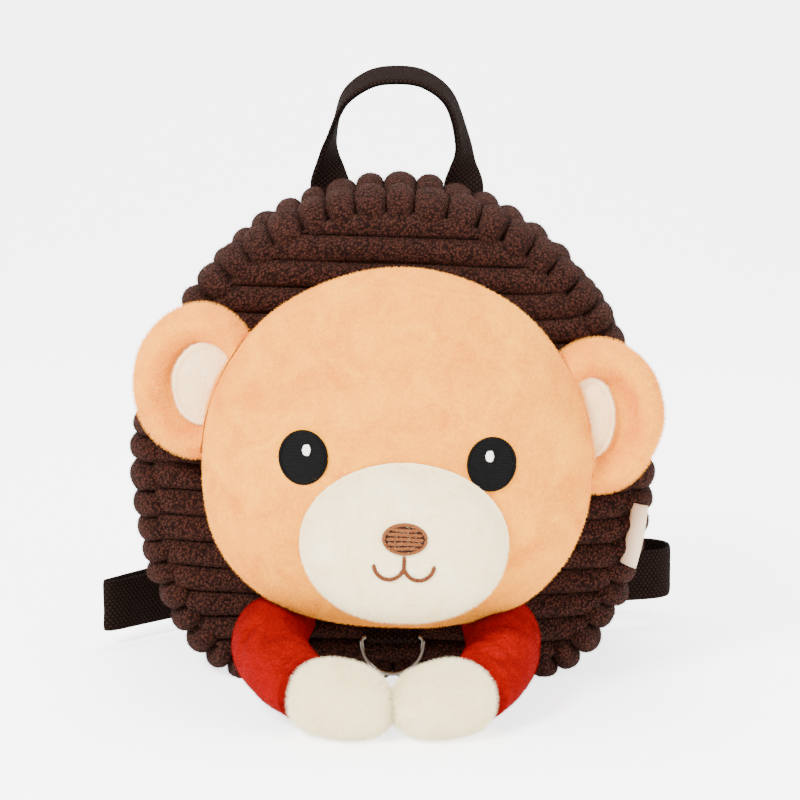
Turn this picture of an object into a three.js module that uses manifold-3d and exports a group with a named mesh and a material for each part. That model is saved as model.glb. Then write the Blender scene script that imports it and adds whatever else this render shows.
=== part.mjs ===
// A toddler's harness backpack: a round corduroy bag with a plush bear's head and arms
// on its front, a haul handle, a D-ring under the chin and two shoulder straps.
// Millimetres, +Z up, the front faces -Y.
import * as THREE from 'three';
import { mergeVertices } from 'three/addons/utils/BufferGeometryUtils.js';
import Module from 'manifold-3d';

const wasm = await Module();
wasm.setup();

// Bag body, measured along the seams
const bagWidth = 222;
const bagHeight = 217;
const bagDepth = 80;
const waistHeight = 95;
const footWidth = 124;
const seamLift = 7;
const leanDegrees = 5;
const clothWall = 3;
const clearance = 0.3;

// Gusset strips, made of pillowy ribs
const gussetBulge = 12.5;
const ribCount = 60;
const ribRelief = 4;
const zipShare = 0.66;
const zipGap = 7;
const zipTapeWidth = 22;
const zipTapeThickness = 1.2;
const sliderWidth = 6;
const sliderLength = 33;

// Front and back panels
const panelCrown = 15;
const waleCount = 18;
const waleRelief = 3;
const backPadding = 5;

// Head, muzzle and ears
const headWidth = 177;
const headHeight = 162;
const headDepth = 68;
const headAcross = 2;
const headBottom = 32;
const headRollDegrees = 2;
const muzzleWidth = 91;
const muzzleHeight = 71;
const muzzleDepth = 30;
const earWidth = 59;
const earHeight = 70;
const earDepth = 27;
const earDish = 8;
const liningLift = 2.2;

// Embroidery
const stitchLift = 1.2;
const eyeWidth = 22;
const eyeHeight = 24;
const glintWidth = 3.8;
const glintHeight = 4.6;
const noseWidth = 20;
const noseHeight = 14;
const noseLift = 6.2;
const mouthWidth = 26;
const mouthStroke = 1.9;
const mouthStem = 4.2;

// Arms
const sleeveRadius = 16;
const armSpread = { left: 1, right: 0.7 };
const armReach = 106;
const pawWidth = 39;
const pawHeight = 30;
const pawLength = 41;

// Webbing, handle, D-ring, straps and label
const webbingWidth = 25;
const webbingThickness = 1.6;
const handleSpan = 66;
const handleRise = 64;
const handleWidth = 20;
const handleThickness = 3;
const handleGap = 2.9;
const handleTiltDegrees = 22;
const ringInner = 26;
const ringWire = 2.2;
const ringDrop = 17.5;
const ringBarHeight = 23.5;
const tabWidth = 24;
const tabThickness = 1.3;
const strapWidth = 38;
const strapThickness = 5;
const strapTopShare = 0.9;
const strapEndShare = 0.31;
const strapBow = 22;
const strapLockWidth = 32;
const strapLockHeight = 20;
const strapLockThickness = 4;
const loopReach = 142;
const loopHeights = { left: 20, right: 25 };
const labelLength = 29;
const labelHeight = 69;
const labelThickness = 1;

const lean = Math.tan(THREE.MathUtils.degToRad(leanDegrees));
const headRoll = THREE.MathUtils.degToRad(headRollDegrees);
const halfDepth = bagDepth / 2;

const colours = {
  corduroy: 0x4f2a20,
  tan: 0xf0c490,
  cream: 0xf7efdc,
  earPink: 0xeed3bc,
  red: 0xc80a0a,
  webbing: 0x2b1e1a,
  black: 0x15110f,
  white: 0xf4f2ee,
  nose: 0x8a5238,
  mouth: 0x4a2818,
  steel: 0xc8c8cc,
  label: 0xdccfb0,
};

function fabric(colour) {
  return new THREE.MeshStandardMaterial({ color: colour, roughness: 0.9, metalness: 0 });
}

function metal(colour) {
  return new THREE.MeshStandardMaterial({ color: colour, roughness: 0.2, metalness: 1 });
}

// Places

// A point of the leaning bag: across, distance behind the middle plane, height.
function inBag(x, depth, z) {
  return new THREE.Vector3(x, depth + z * lean, z);
}

// A point in front of the plane of the front seam.
function inFront(x, forward, z) {
  return inBag(x, -halfDepth - forward, z);
}

// A point behind the outer face of the back panel.
function behind(x, back, z) {
  return inBag(x, halfDepth + clearance + backPadding + back, z);
}

const headCentre = { x: headAcross, z: headBottom + headHeight * 0.47 };

// Across and up from the head's centre, turned with the head.
function onHead(x, z) {
  return {
    x: headCentre.x + x * Math.cos(headRoll) + z * Math.sin(headRoll),
    z: headCentre.z - x * Math.sin(headRoll) + z * Math.cos(headRoll),
  };
}

// Meshes

function signedVolume(points, faces) {
  return faces.reduce((sum, [a, b, c]) => {
    const cross = new THREE.Vector3().crossVectors(points[b], points[c]);
    return sum + points[a].dot(cross) / 6;
  }, 0);
}

function solidFrom(points, faces) {
  const outward = signedVolume(points, faces) > 0;
  const geometry = new THREE.BufferGeometry();
  const ordered = outward ? faces : faces.map(([a, b, c]) => [a, c, b]);
  geometry.setAttribute('position', new THREE.Float32BufferAttribute(points.flatMap((p) => [p.x, p.y, p.z]), 3));
  geometry.setIndex(ordered.flat());
  geometry.computeVertexNormals();
  return geometry;
}

// Triangles between two rings of points that start at the given indices.
function stitchRings(first, second, count) {
  const faces = [];
  for (let i = 0; i < count; i += 1) {
    const j = (i + 1) % count;
    faces.push([first + i, second + i, second + j]);
    faces.push([first + i, second + j, first + j]);
  }
  return faces;
}

// A closed skin over rings of points, ended by a point at each end.
function skin(rings, startPoint, endPoint) {
  const count = rings[0].length;
  const points = [startPoint, ...rings.flat(), endPoint];
  const last = points.length - 1;
  const faces = [];
  for (let i = 0; i < count; i += 1) {
    const j = (i + 1) % count;
    faces.push([0, 1 + i, 1 + j]);
    faces.push([last, last - count + j, last - count + i]);
  }
  for (let r = 0; r + 1 < rings.length; r += 1) {
    faces.push(...stitchRings(1 + r * count, 1 + (r + 1) * count, count));
  }
  return solidFrom(points, faces);
}

// A closed skin over sections that run round in a loop.
function loopSkin(sections) {
  const count = sections[0].length;
  const faces = sections.flatMap((section, s) => (
    stitchRings(s * count, ((s + 1) % sections.length) * count, count)));
  return solidFrom(sections.flat(), faces);
}

function middle(ring) {
  const sum = new THREE.Vector3();
  ring.forEach((point) => sum.add(point));
  return sum.divideScalar(ring.length);
}

function capped(rings) {
  return skin(rings, middle(rings[0]), middle(rings[rings.length - 1]));
}

function toManifold(geometry) {
  return new wasm.Manifold(new wasm.Mesh({
    numProp: 3,
    vertProperties: new Float32Array(geometry.attributes.position.array),
    triVerts: new Uint32Array(geometry.index.array),
  }));
}

function fromManifold(body) {
  const mesh = body.getMesh();
  const geometry = new THREE.BufferGeometry();
  geometry.setAttribute('position', new THREE.Float32BufferAttribute(mesh.vertProperties, 3));
  geometry.setIndex(Array.from(mesh.triVerts));
  geometry.computeVertexNormals();
  return geometry;
}

// Bag outline

function bagShape() {
  const side = bagWidth / 2;
  const foot = footWidth / 2;
  const knee = seamLift + (waistHeight - seamLift) * 0.5;
  const corner = side * 0.8;
  const shape = new THREE.Shape();
  shape.moveTo(0, seamLift);
  shape.lineTo(foot, seamLift);
  shape.bezierCurveTo(corner, seamLift, side, knee, side, waistHeight);
  shape.absellipse(0, waistHeight, side, bagHeight - waistHeight, 0, Math.PI, false);
  shape.bezierCurveTo(-side, knee, -corner, seamLift, -foot, seamLift);
  shape.lineTo(0, seamLift);
  return shape;
}

// Evenly spaced points of the seam, from the bottom middle round, with outward normals.
function outlineSamples(count) {
  const points = bagShape().getSpacedPoints(count).slice(0, count);
  return points.map((point, i) => {
    const before = points[(i + count - 1) % count];
    const after = points[(i + 1) % count];
    const along = new THREE.Vector2().subVectors(after, before).normalize();
    return { x: point.x, z: point.y, outX: along.y, outZ: -along.x, share: i / count };
  });
}

const samplesPerRib = 3;
const seam = outlineSamples(ribCount * samplesPerRib);

// The seam's half width at a height.
function halfWidthAt(z) {
  const right = seam.filter((sample) => sample.x >= 0).sort((a, b) => a.z - b.z);
  const above = right.findIndex((sample) => sample.z > z);
  if (z <= seamLift) {
    return footWidth / 2;
  }
  if (above < 0) {
    return 0;
  }
  const low = right[above - 1];
  const high = right[above];
  const share = (z - low.z) / Math.max(high.z - low.z, 1e-6);
  return THREE.MathUtils.lerp(low.x, high.x, share);
}

// Gusset strips
const stripProfile = [
  // depth: share of the strip from its seam; bulge: share of gussetBulge; puff: share of ribRelief
  { depth: 0.00, bulge: 0.00, puff: 0.2 },
  { depth: 0.18, bulge: 0.68, puff: 0.9 },
  { depth: 0.50, bulge: 1.00, puff: 1.0 },
  { depth: 0.82, bulge: 0.82, puff: 0.9 },
  { depth: 1.00, bulge: 0.35, puff: 0.3 },
];
const liningRows = [4, 1];

// Half the gap between the strips: wide along the zip, a seam below it.
function halfGapAt(share) {
  const fromTop = Math.abs(share - 0.5);
  const fade = THREE.MathUtils.smoothstep(fromTop, zipShare / 2 - 1 / ribCount, zipShare / 2 + 1 / ribCount);
  return THREE.MathUtils.lerp(zipGap / 2, clearance / 2, fade);
}

function gusset(side) {
  const sections = seam.map((sample, i) => {
    const groove = i % samplesPerRib === 0 ? 1 : 0;
    const width = halfDepth - halfGapAt(sample.share);
    const place = (row, out, floor) => {
      const x = sample.x + sample.outX * out;
      const z = Math.max(sample.z + sample.outZ * out, floor);
      return inBag(x, side * (halfDepth - row.depth * width), z);
    };
    const outer = stripProfile.map((row) => (
      place(row, row.bulge * gussetBulge - groove * row.puff * ribRelief, 0)));
    const inner = liningRows.map((index) => {
      const row = stripProfile[index];
      return place(row, row.bulge * gussetBulge - row.puff * ribRelief - clothWall, clothWall);
    });
    return [...outer, ...inner];
  });
  return loopSkin(sections);
}

// Zip
const zipEdge = stripProfile[stripProfile.length - 1];
const zipFloor = zipEdge.bulge * gussetBulge - zipEdge.puff * ribRelief - clothWall - clearance;
const zipReach = zipShare / 2 - 1.5 / ribCount;

function zipTape() {
  const samples = outlineSamples(ribCount).filter((sample) => Math.abs(sample.share - 0.5) <= zipReach);
  const rings = samples.map((sample) => (
    [[-1, 0], [1, 0], [1, 1], [-1, 1]].map(([sideways, down]) => {
      const out = zipFloor - down * zipTapeThickness;
      return inBag(sample.x + sample.outX * out, sideways * zipTapeWidth / 2, sample.z + sample.outZ * out);
    })));
  return capped(rings);
}

// Slider body and pull as one side profile, along the zip and out from it.
function zipSlider() {
  const bodyLength = sliderLength * 0.27;
  const pullBottom = 3.6;
  const pullTop = 5.2;
  const profile = [
    [0, 0], [bodyLength, 0], [bodyLength, pullBottom], [bodyLength * 0.8, pullTop],
    [bodyLength - sliderLength, pullTop], [bodyLength - sliderLength, pullBottom], [0, pullBottom],
  ];
  const shape = new THREE.Shape(profile.map(([along, out]) => new THREE.Vector2(along, out)));
  const geometry = new THREE.ExtrudeGeometry(shape, { depth: sliderWidth, bevelEnabled: false });
  const samples = seam.filter((sample) => sample.share > 0.5 && sample.share - 0.5 <= zipReach);
  const seat = samples[samples.length - 3];
  const rest = zipFloor + clearance;
  return remap(geometry, (along, out, sideways) => inBag(
    seat.x + seat.outX * (out + rest) + seat.outZ * along,
    sliderWidth / 2 - sideways,
    seat.z + seat.outZ * (out + rest) - seat.outX * along));
}

// Move each point of a geometry by a function of its place.
function remap(geometry, place) {
  const moved = geometry.clone();
  const position = moved.attributes.position;
  for (let i = 0; i < position.count; i += 1) {
    const point = place(position.getX(i), position.getY(i), position.getZ(i));
    position.setXYZ(i, point.x, point.y, point.z);
  }
  return moved;
}

// Front panel

// How far the panel's crown stands out, from none at the seam.
function crownAt(x, z) {
  const half = halfWidthAt(z);
  const reach = z > waistHeight ? bagHeight - waistHeight : waistHeight - seamLift;
  const across = half > 0 ? Math.min(Math.abs(x) / half, 1) : 1;
  const up = Math.min(Math.abs(z - waistHeight) / reach, 1);
  return panelCrown * Math.sqrt((1 - across ** 2) * (1 - up ** 2));
}

// The crests of the wales at the panel's edge, ahead of the seam plane
const headBase = clearance + clothWall + waleRelief;

const panelColumns = [-1, -0.9, -0.6, 0, 0.6, 0.9, 1];
const liningColumns = [1, 0.6, -0.6, -1];
const waleRows = [
  // along: share of the wale's height; rise: share of waleRelief
  { along: 0.0, rise: 0 },
  { along: 0.3, rise: 1 },
  { along: 0.7, rise: 1 },
];

function panelRing(z, rise) {
  const half = halfWidthAt(z);
  const outer = panelColumns.map((share) => {
    const edge = Math.abs(share) === 1 ? 0 : 1;
    return inFront(share * half, clearance + clothWall + crownAt(share * half, z) + rise * edge, z);
  });
  const inner = liningColumns.map((share) => inFront(share * half, clearance + crownAt(share * half, z), z));
  return [...outer, ...inner];
}

function frontPanel() {
  const pitch = (bagHeight - seamLift) / waleCount;
  const rings = [];
  for (let wale = 0; wale < waleCount; wale += 1) {
    waleRows.forEach((row) => {
      rings.push(panelRing(seamLift + (wale + row.along) * pitch, row.rise * waleRelief));
    });
  }
  const top = inFront(0, clearance + clothWall / 2, bagHeight - clearance);
  return skin(rings, middle(rings[0]), top);
}

// The room that the panel takes, without grooves and with a margin, for cutting other pieces.
function panelRoom(margin) {
  const pitch = (bagHeight - seamLift) / waleCount;
  const crestRows = waleRows.filter((row) => row.rise === 1);
  const heights = Array.from({ length: waleCount }, (_, wale) => (
    crestRows.map((row) => seamLift + (wale + row.along) * pitch))).flat();
  const rings = [seamLift - margin, ...heights, bagHeight].map((z) => {
    const half = halfWidthAt(z);
    const outer = panelColumns.map((share) => inFront(
      share * (half + margin), headBase + margin + crownAt(share * half, z), z));
    const inner = liningColumns.map((share) => inFront(share * (half + margin), -halfDepth, z));
    return [...outer, ...inner];
  });
  return toManifold(capped(rings));
}

function backPanel() {
  const rim = outlineSamples(ribCount * 0.8);
  const ringAt = (share, back) => rim.map((sample) => (
    behind(sample.x * share, back, waistHeight + (sample.z - waistHeight) * share)));
  const rings = [
    ringAt(1, -backPadding),
    ringAt(1, -backPadding * 0.4),
    ringAt(0.97, 0),
  ];
  return capped(rings);
}

// Plush pieces

// Radius of an oval with its own roundness above and below its centre.
function ovalRadius(angle, oval) {
  const up = Math.sin(angle) > 0;
  const height = up ? oval.up : oval.down;
  const power = up ? oval.upPower : oval.downPower;
  const across = (Math.abs(Math.cos(angle)) / oval.across) ** power;
  const along = (Math.abs(Math.sin(angle)) / height) ** power;
  return (across + along) ** (-1 / power);
}

// A stuffed piece: its rings follow the oval, its table gives each ring's size and depth.
function stuffed(oval, profile, depthOf, place, sides) {
  const ringOf = (row) => {
    const ring = [];
    for (let i = 0; i < sides; i += 1) {
      const angle = (2 * Math.PI * i) / sides;
      const radius = ovalRadius(angle, oval) * row.size;
      ring.push(place(radius * Math.cos(angle), depthOf(row.depth), radius * Math.sin(angle)));
    }
    return ring;
  };
  const first = profile[0];
  const last = profile[profile.length - 1];
  return skin(profile.map(ringOf), place(0, depthOf(first.depth), 0), place(0, depthOf(last.depth), 0));
}

const headProfile = [
  // size: share of the outline; depth: share of the head's depth
  { size: 0.40, depth: 0.00 },
  { size: 0.84, depth: 0.00 },
  { size: 0.95, depth: 0.12 },
  { size: 1.00, depth: 0.32 },
  { size: 0.98, depth: 0.49 },
  { size: 0.92, depth: 0.64 },
  { size: 0.82, depth: 0.77 },
  { size: 0.69, depth: 0.87 },
  { size: 0.52, depth: 0.95 },
  { size: 0.30, depth: 0.99 },
  { size: 0.10, depth: 1.00 },
];

// The head's solid before it is seated on the panel, grown by a margin.
function headBody(margin) {
  const oval = {
    across: headWidth / 2 + margin,
    up: headHeight * 0.53 + margin,
    down: headHeight * 0.47 + margin,
    upPower: 2.0,
    downPower: 2.5,
  };
  const place = (x, forward, z) => {
    const spot = onHead(x, z);
    return inFront(spot.x, forward, spot.z);
  };
  const depthOf = (share) => (share === 0 ? -margin : headBase + share * headDepth + margin);
  return toManifold(stuffed(oval, headProfile, depthOf, place, 36));
}

const muzzleProfile = [
  { size: 0.60, depth: 0.00 },
  { size: 0.97, depth: 0.00 },
  { size: 1.00, depth: 0.30 },
  { size: 0.96, depth: 0.52 },
  { size: 0.86, depth: 0.72 },
  { size: 0.70, depth: 0.86 },
  { size: 0.48, depth: 0.96 },
  { size: 0.20, depth: 1.00 },
];
const muzzleAcross = headWidth * 0.025;
const muzzleUp = -headHeight * 0.18;

function muzzleBody(margin) {
  const oval = {
    across: muzzleWidth / 2 + margin,
    up: muzzleHeight * 0.5 + margin,
    down: muzzleHeight * 0.5 + margin,
    upPower: 2.0,
    downPower: 2.2,
  };
  const place = (x, forward, z) => {
    const spot = onHead(muzzleAcross + x, muzzleUp + z);
    return inFront(spot.x, forward, spot.z);
  };
  const sink = headBase + headDepth * 0.72;
  const depthOf = (share) => sink - (share === 0 ? margin : 0) + share * (headDepth * 0.28 + muzzleDepth * 0.6) + margin;
  return toManifold(stuffed(oval, muzzleProfile, depthOf, place, 24));
}

// A prism in the face's plane, between two distances from the seam plane.
function prismOf(points, near, far) {
  const shape = new THREE.Shape(points.map(([x, z]) => new THREE.Vector2(x, z)));
  const extruded = new THREE.ExtrudeGeometry(shape, { depth: far - near, bevelEnabled: false });
  extruded.deleteAttribute('normal');
  extruded.deleteAttribute('uv');
  return toManifold(mergeVertices(remap(extruded, (x, z, forward) => {
    const spot = onHead(x, z);
    return inFront(spot.x, near + forward, spot.z);
  })));
}

// Prisms that end well in front of the muzzle and start inside the head or the muzzle.
const faceFar = headBase + headDepth + muzzleDepth * 2;

function headPrism(points) {
  return prismOf(points, headBase + headDepth * 0.4, faceFar);
}

function muzzlePrism(points) {
  return prismOf(points, headBase + headDepth * 0.9, faceFar);
}

// A layer on a body, between two margins, within a prism.
function layerOn(body, low, high, prism) {
  return fromManifold(body(high).intersect(prism).subtract(body(low)));
}

function ovalPoints(x, z, width, height, sides) {
  return Array.from({ length: sides }, (_, i) => {
    const angle = (2 * Math.PI * i) / sides;
    return [x + (width / 2) * Math.cos(angle), z + (height / 2) * Math.sin(angle)];
  });
}

const eyes = [
  // across, up: shares of the head's size from its centre; glint: shift of the glint, share of the eye
  { name: 'left', across: -0.232, up: 0.042, glint: 0.06 },
  { name: 'right', across: 0.234, up: 0.042, glint: -0.05 },
];

const ears = [
  // across, up: ear centre as shares of the head's size; liningWidth: share of the ear's width
  { name: 'left', across: -0.518, up: 0.187, liningAcross: 0.02, liningWidth: 0.50 },
  { name: 'right', across: 0.516, up: 0.128, liningAcross: -0.03, liningWidth: 0.42 },
];

const earProfile = [
  { size: 0.55, depth: 0.00 },
  { size: 0.86, depth: 0.04 },
  { size: 1.00, depth: 0.42 },
  { size: 0.93, depth: 0.78 },
  { size: 0.80, depth: 1.00 },
  { size: 0.66, depth: 0.96 },
  { size: 0.55, depth: 0.84 },
  { size: 0.44, depth: 0.72 },
  { size: 0.20, depth: 0.70 },
];

function earBody(ear, margin) {
  const oval = {
    across: earWidth / 2 + margin,
    up: earHeight / 2 + margin,
    down: earHeight / 2 + margin,
    upPower: 2,
    downPower: 2,
  };
  const centre = { x: ear.across * headWidth, z: ear.up * headHeight };
  const place = (x, forward, z) => {
    const spot = onHead(centre.x + x, centre.z + z);
    return inFront(spot.x, forward, spot.z);
  };
  const rimShare = 0.8;
  const depthOf = (share) => {
    const dished = share < rimShare ? share : rimShare + (share - rimShare) * (earDish / (earDepth * 0.3));
    return headBase + clearance + dished * earDepth + (share > 0.5 ? margin : -margin);
  };
  return toManifold(stuffed(oval, earProfile, depthOf, place, 18));
}

function liningPrism(ear) {
  const centre = { x: (ear.across + ear.liningAcross) * headWidth, z: ear.up * headHeight };
  const points = ovalPoints(centre.x, centre.z, earWidth * ear.liningWidth, earHeight * 0.54, 14);
  return prismOf(points, headBase + earDepth * 0.45, headBase + earDepth * 1.6);
}

// Arms, as shares of the reach and radius, with the paw's own sizes after the cuff
const sleeveTable = [
  // across: share of headWidth from the middle; forward: share of armReach; up, size: shares of sleeveRadius
  { across: 0.276, forward: 0.09, up: 2.10, size: 0.90 },
  { across: 0.299, forward: 0.20, up: 2.00, size: 1.00 },
  { across: 0.314, forward: 0.36, up: 1.84, size: 1.04 },
  { across: 0.299, forward: 0.54, up: 1.64, size: 1.02 },
  { across: 0.262, forward: 0.67, up: 1.42, size: 1.00 },
  { across: 0.214, forward: 0.77, up: 1.16, size: 0.94 },
];
const pawTable = [
  // along: share of pawLength from the cuff; wide, high: shares of the paw's width and height
  { along: 0.00, wide: 0.74, high: 0.74 },
  { along: 0.12, wide: 0.90, high: 0.92 },
  { along: 0.30, wide: 1.00, high: 1.00 },
  { along: 0.50, wide: 1.00, high: 0.98 },
  { along: 0.70, wide: 0.90, high: 0.88 },
  { along: 0.86, wide: 0.68, high: 0.66 },
  { along: 0.96, wide: 0.38, high: 0.37 },
];
const pawTurnDegrees = 63;
const pawPeak = 0.3;
const pawTipLift = 0.16;

// A ring round a limb: its plane is upright and square to the heading in plan.
function limbRing(centre, heading, halfWidth, halfHeight, sides, limit) {
  const ring = [];
  for (let i = 0; i < sides; i += 1) {
    const angle = (2 * Math.PI * i) / sides;
    const sideways = halfWidth * Math.cos(angle);
    const x = limit(centre.x + sideways * heading.forward);
    const forward = centre.forward - sideways * heading.x;
    const z = Math.max(centre.z + halfHeight * Math.sin(angle), 0);
    ring.push(inFront(x, forward, z));
  }
  return ring;
}

function sleeveCentres(side) {
  const cuff = sleeveTable[sleeveTable.length - 1].across;
  const spread = side < 0 ? armSpread.left : armSpread.right;
  return sleeveTable.map((row) => ({
    x: side * (cuff + (row.across - cuff) * spread) * headWidth,
    forward: row.forward * armReach,
    z: row.up * sleeveRadius * 0.93,
    size: row.size,
  }));
}

function headingAt(centres, i) {
  const before = centres[Math.max(i - 1, 0)];
  const after = centres[Math.min(i + 1, centres.length - 1)];
  const length = Math.hypot(after.x - before.x, after.forward - before.forward);
  return { x: (after.x - before.x) / length, forward: (after.forward - before.forward) / length };
}

function sleeve(side) {
  const centres = sleeveCentres(side);
  const free = (x) => x;
  const rings = centres.map((centre, i) => limbRing(
    centre, headingAt(centres, i), sleeveRadius * centre.size, sleeveRadius * 0.93 * centre.size, 16, free));
  const limb = toManifold(capped(rings));
  return fromManifold(limb.subtract(headBody(clearance)).subtract(panelRoom(clearance)));
}

// The paw's middle comes down a little from its peak to its tip.
function pawLevel(along) {
  return (pawHeight / 2) * (1 - (pawTipLift * Math.max(along - pawPeak, 0)) / (1 - pawPeak));
}

function paw(side) {
  const centres = sleeveCentres(side);
  const cuff = centres[centres.length - 1];
  const turn = THREE.MathUtils.degToRad(pawTurnDegrees);
  const out = headingAt(centres, centres.length - 1);
  const heading = { x: -side * Math.sin(turn), forward: Math.cos(turn) };
  const limit = (x) => (side < 0 ? Math.min(x, -clearance / 2) : Math.max(x, clearance / 2));
  const rings = pawTable.map((row) => {
    const bend = Math.min(row.along * 3, 1);
    const aim = {
      x: THREE.MathUtils.lerp(out.x, heading.x, bend),
      forward: THREE.MathUtils.lerp(out.forward, heading.forward, bend),
    };
    const centre = {
      x: cuff.x + out.x * clearance + heading.x * row.along * pawLength,
      forward: cuff.forward + out.forward * clearance + heading.forward * row.along * pawLength,
      z: pawLevel(row.along),
    };
    return limbRing(centre, aim, (pawWidth / 2) * row.wide, (pawHeight / 2) * row.high, 16, limit);
  });
  const tip = inFront(
    limit(cuff.x + heading.x * pawLength), cuff.forward + heading.forward * pawLength, pawLevel(1));
  return skin(rings, middle(rings[0]), tip);
}

// Webbing

// A flat band along a smooth route; each section's width lies between two directions.
function band(table, flat, edge, width, thickness, steps) {
  const route = new THREE.CatmullRomCurve3(table.map((row) => row.at), false, 'centripetal');
  const rings = [];
  for (let i = 0; i <= steps; i += 1) {
    const share = i / steps;
    const slot = Math.min(share * (table.length - 1), table.length - 1.000001);
    const row = Math.floor(slot);
    const turn = THREE.MathUtils.lerp(table[row].turn, table[row + 1].turn, slot - row);
    const centre = route.getPoint(share);
    const along = route.getTangent(share);
    const wide = new THREE.Vector3().lerpVectors(flat, edge, turn);
    wide.addScaledVector(along, -wide.dot(along)).normalize().multiplyScalar(width / 2);
    const thick = new THREE.Vector3().crossVectors(along, wide).normalize().multiplyScalar(thickness / 2);
    rings.push([
      centre.clone().add(wide).add(thick),
      centre.clone().add(wide).sub(thick),
      centre.clone().sub(wide).sub(thick),
      centre.clone().sub(wide).add(thick),
    ]);
  }
  return capped(rings);
}

const across = new THREE.Vector3(1, 0, 0);
const upright = new THREE.Vector3(0, lean, 1).normalize();

const handleTable = [
  // side: share of half the span; up: share of the rise; turn: 0 flat on the bag, 1 across the top
  { side: 1.00, up: 0.00, turn: 0.00 },
  { side: 1.00, up: 0.23, turn: 0.00 },
  { side: 1.01, up: 0.40, turn: 0.50 },
  { side: 0.99, up: 0.58, turn: 0.80 },
  { side: 0.79, up: 0.84, turn: 0.95 },
  { side: 0.42, up: 0.97, turn: 1.00 },
  { side: 0.00, up: 1.00, turn: 1.00 },
];

function handle() {
  const foot = bagHeight * strapTopShare + handleGap;
  const tilt = THREE.MathUtils.degToRad(handleTiltDegrees);
  const edgewise = new THREE.Vector3(0, Math.cos(tilt), Math.sin(tilt));
  const rise = bagHeight + handleRise - handleThickness / 2 - (handleWidth / 2) * Math.sin(tilt) - foot;
  const half = (side) => handleTable.map((row) => ({
    at: behind(side * row.side * handleSpan / 2 + headAcross, clearance + handleThickness / 2, foot + row.up * rise),
    turn: row.turn,
  }));
  const left = half(-1);
  const right = half(1).slice(0, -1).reverse();
  return band([...left, ...right], across, edgewise, handleWidth, handleThickness, 28);
}

// D-ring, tab and the pivot between them
const barForward = headBase + panelCrown * 0.56 + clearance * 4 + tabThickness + ringWire / 2;
const ringBar = { forward: barForward, z: ringBarHeight };

function dRing() {
  const half = (ringInner + ringWire) / 2;
  const corner = ringWire;
  const path = new THREE.Path();
  path.moveTo(-half + corner, 0);
  path.lineTo(half - corner, 0);
  path.quadraticCurveTo(half, 0, half, -corner);
  path.absellipse(0, -corner, half, ringDrop - corner, 0, -Math.PI, true);
  path.quadraticCurveTo(-half, 0, -half + corner, 0);
  const count = 32;
  const points = path.getSpacedPoints(count).slice(0, count);
  const sides = 6;
  const sections = points.map((point, i) => {
    const before = points[(i + count - 1) % count];
    const after = points[(i + 1) % count];
    const along = new THREE.Vector2().subVectors(after, before).normalize();
    const pivot = inFront(point.x, ringBar.forward, ringBar.z);
    return Array.from({ length: sides }, (_, s) => {
      const angle = (2 * Math.PI * (s + 0.5)) / sides;
      const out = (ringWire / 2) * Math.cos(angle);
      const deep = (ringWire / 2) * Math.sin(angle);
      return new THREE.Vector3(pivot.x + along.y * out, pivot.y + deep, pivot.z + point.y - along.x * out);
    });
  });
  return loopSkin(sections);
}

function dRingTab() {
  const wrap = ringWire / 2 + clearance + tabThickness / 2;
  const top = headBottom + clearance * 4;
  const lead = (tabThickness + clearance) / 2 + 0.05;
  const turns = [
    // turn: degrees round the bar from its back, over the bottom
    { turn: 0 }, { turn: 30 }, { turn: 60 }, { turn: 90 }, { turn: 120 }, { turn: 150 }, { turn: 180 },
  ];
  const round = turns.map((row) => {
    const angle = THREE.MathUtils.degToRad(row.turn);
    return [ringBar.forward - wrap * Math.cos(angle), ringBar.z - wrap * Math.sin(angle)];
  });
  const centre = ringBar.forward;
  const pinch = ringBar.z + ringWire * 1.4;
  const route = [[centre - lead, top], [centre - lead, pinch], ...round, [centre + lead, pinch], [centre + lead, top]];
  const rings = route.map(([forward, z], i) => {
    const before = route[Math.max(i - 1, 0)];
    const after = route[Math.min(i + 1, route.length - 1)];
    const length = Math.hypot(after[0] - before[0], after[1] - before[1]);
    const outForward = ((after[1] - before[1]) / length) * (tabThickness / 2);
    const outUp = (-(after[0] - before[0]) / length) * (tabThickness / 2);
    return [
      inFront(-tabWidth / 2, forward + outForward, z + outUp),
      inFront(tabWidth / 2, forward + outForward, z + outUp),
      inFront(tabWidth / 2, forward - outForward, z - outUp),
      inFront(-tabWidth / 2, forward - outForward, z - outUp),
    ];
  });
  return capped(rings);
}

// Shoulder straps
const strapTable = [
  // across: share of bagWidth; bow: share of strapBow; along: share from the strap's top to its end
  { across: 0.090, bow: 0.00, along: 0.00 },
  { across: 0.093, bow: 0.03, along: 0.10 },
  { across: 0.120, bow: 0.55, along: 0.30 },
  { across: 0.175, bow: 1.00, along: 0.52 },
  { across: 0.240, bow: 0.78, along: 0.72 },
  { across: 0.282, bow: 0.14, along: 0.88 },
  { across: 0.288, bow: 0.05, along: 0.94 },
  { across: 0.288, bow: 0.05, along: 1.00 },
];
const strapTop = bagHeight * strapTopShare;
const strapEnd = bagHeight * strapEndShare;
const strapFoot = strapTable[strapTable.length - 1];

function shoulderStrap(side) {
  const table = strapTable.map((row) => ({
    at: behind(
      side * row.across * bagWidth,
      clearance + strapThickness / 2 + row.bow * strapBow,
      THREE.MathUtils.lerp(strapTop, strapEnd, row.along)),
    turn: 0,
  }));
  return band(table, across, upright, strapWidth, strapThickness, 18);
}

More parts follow.
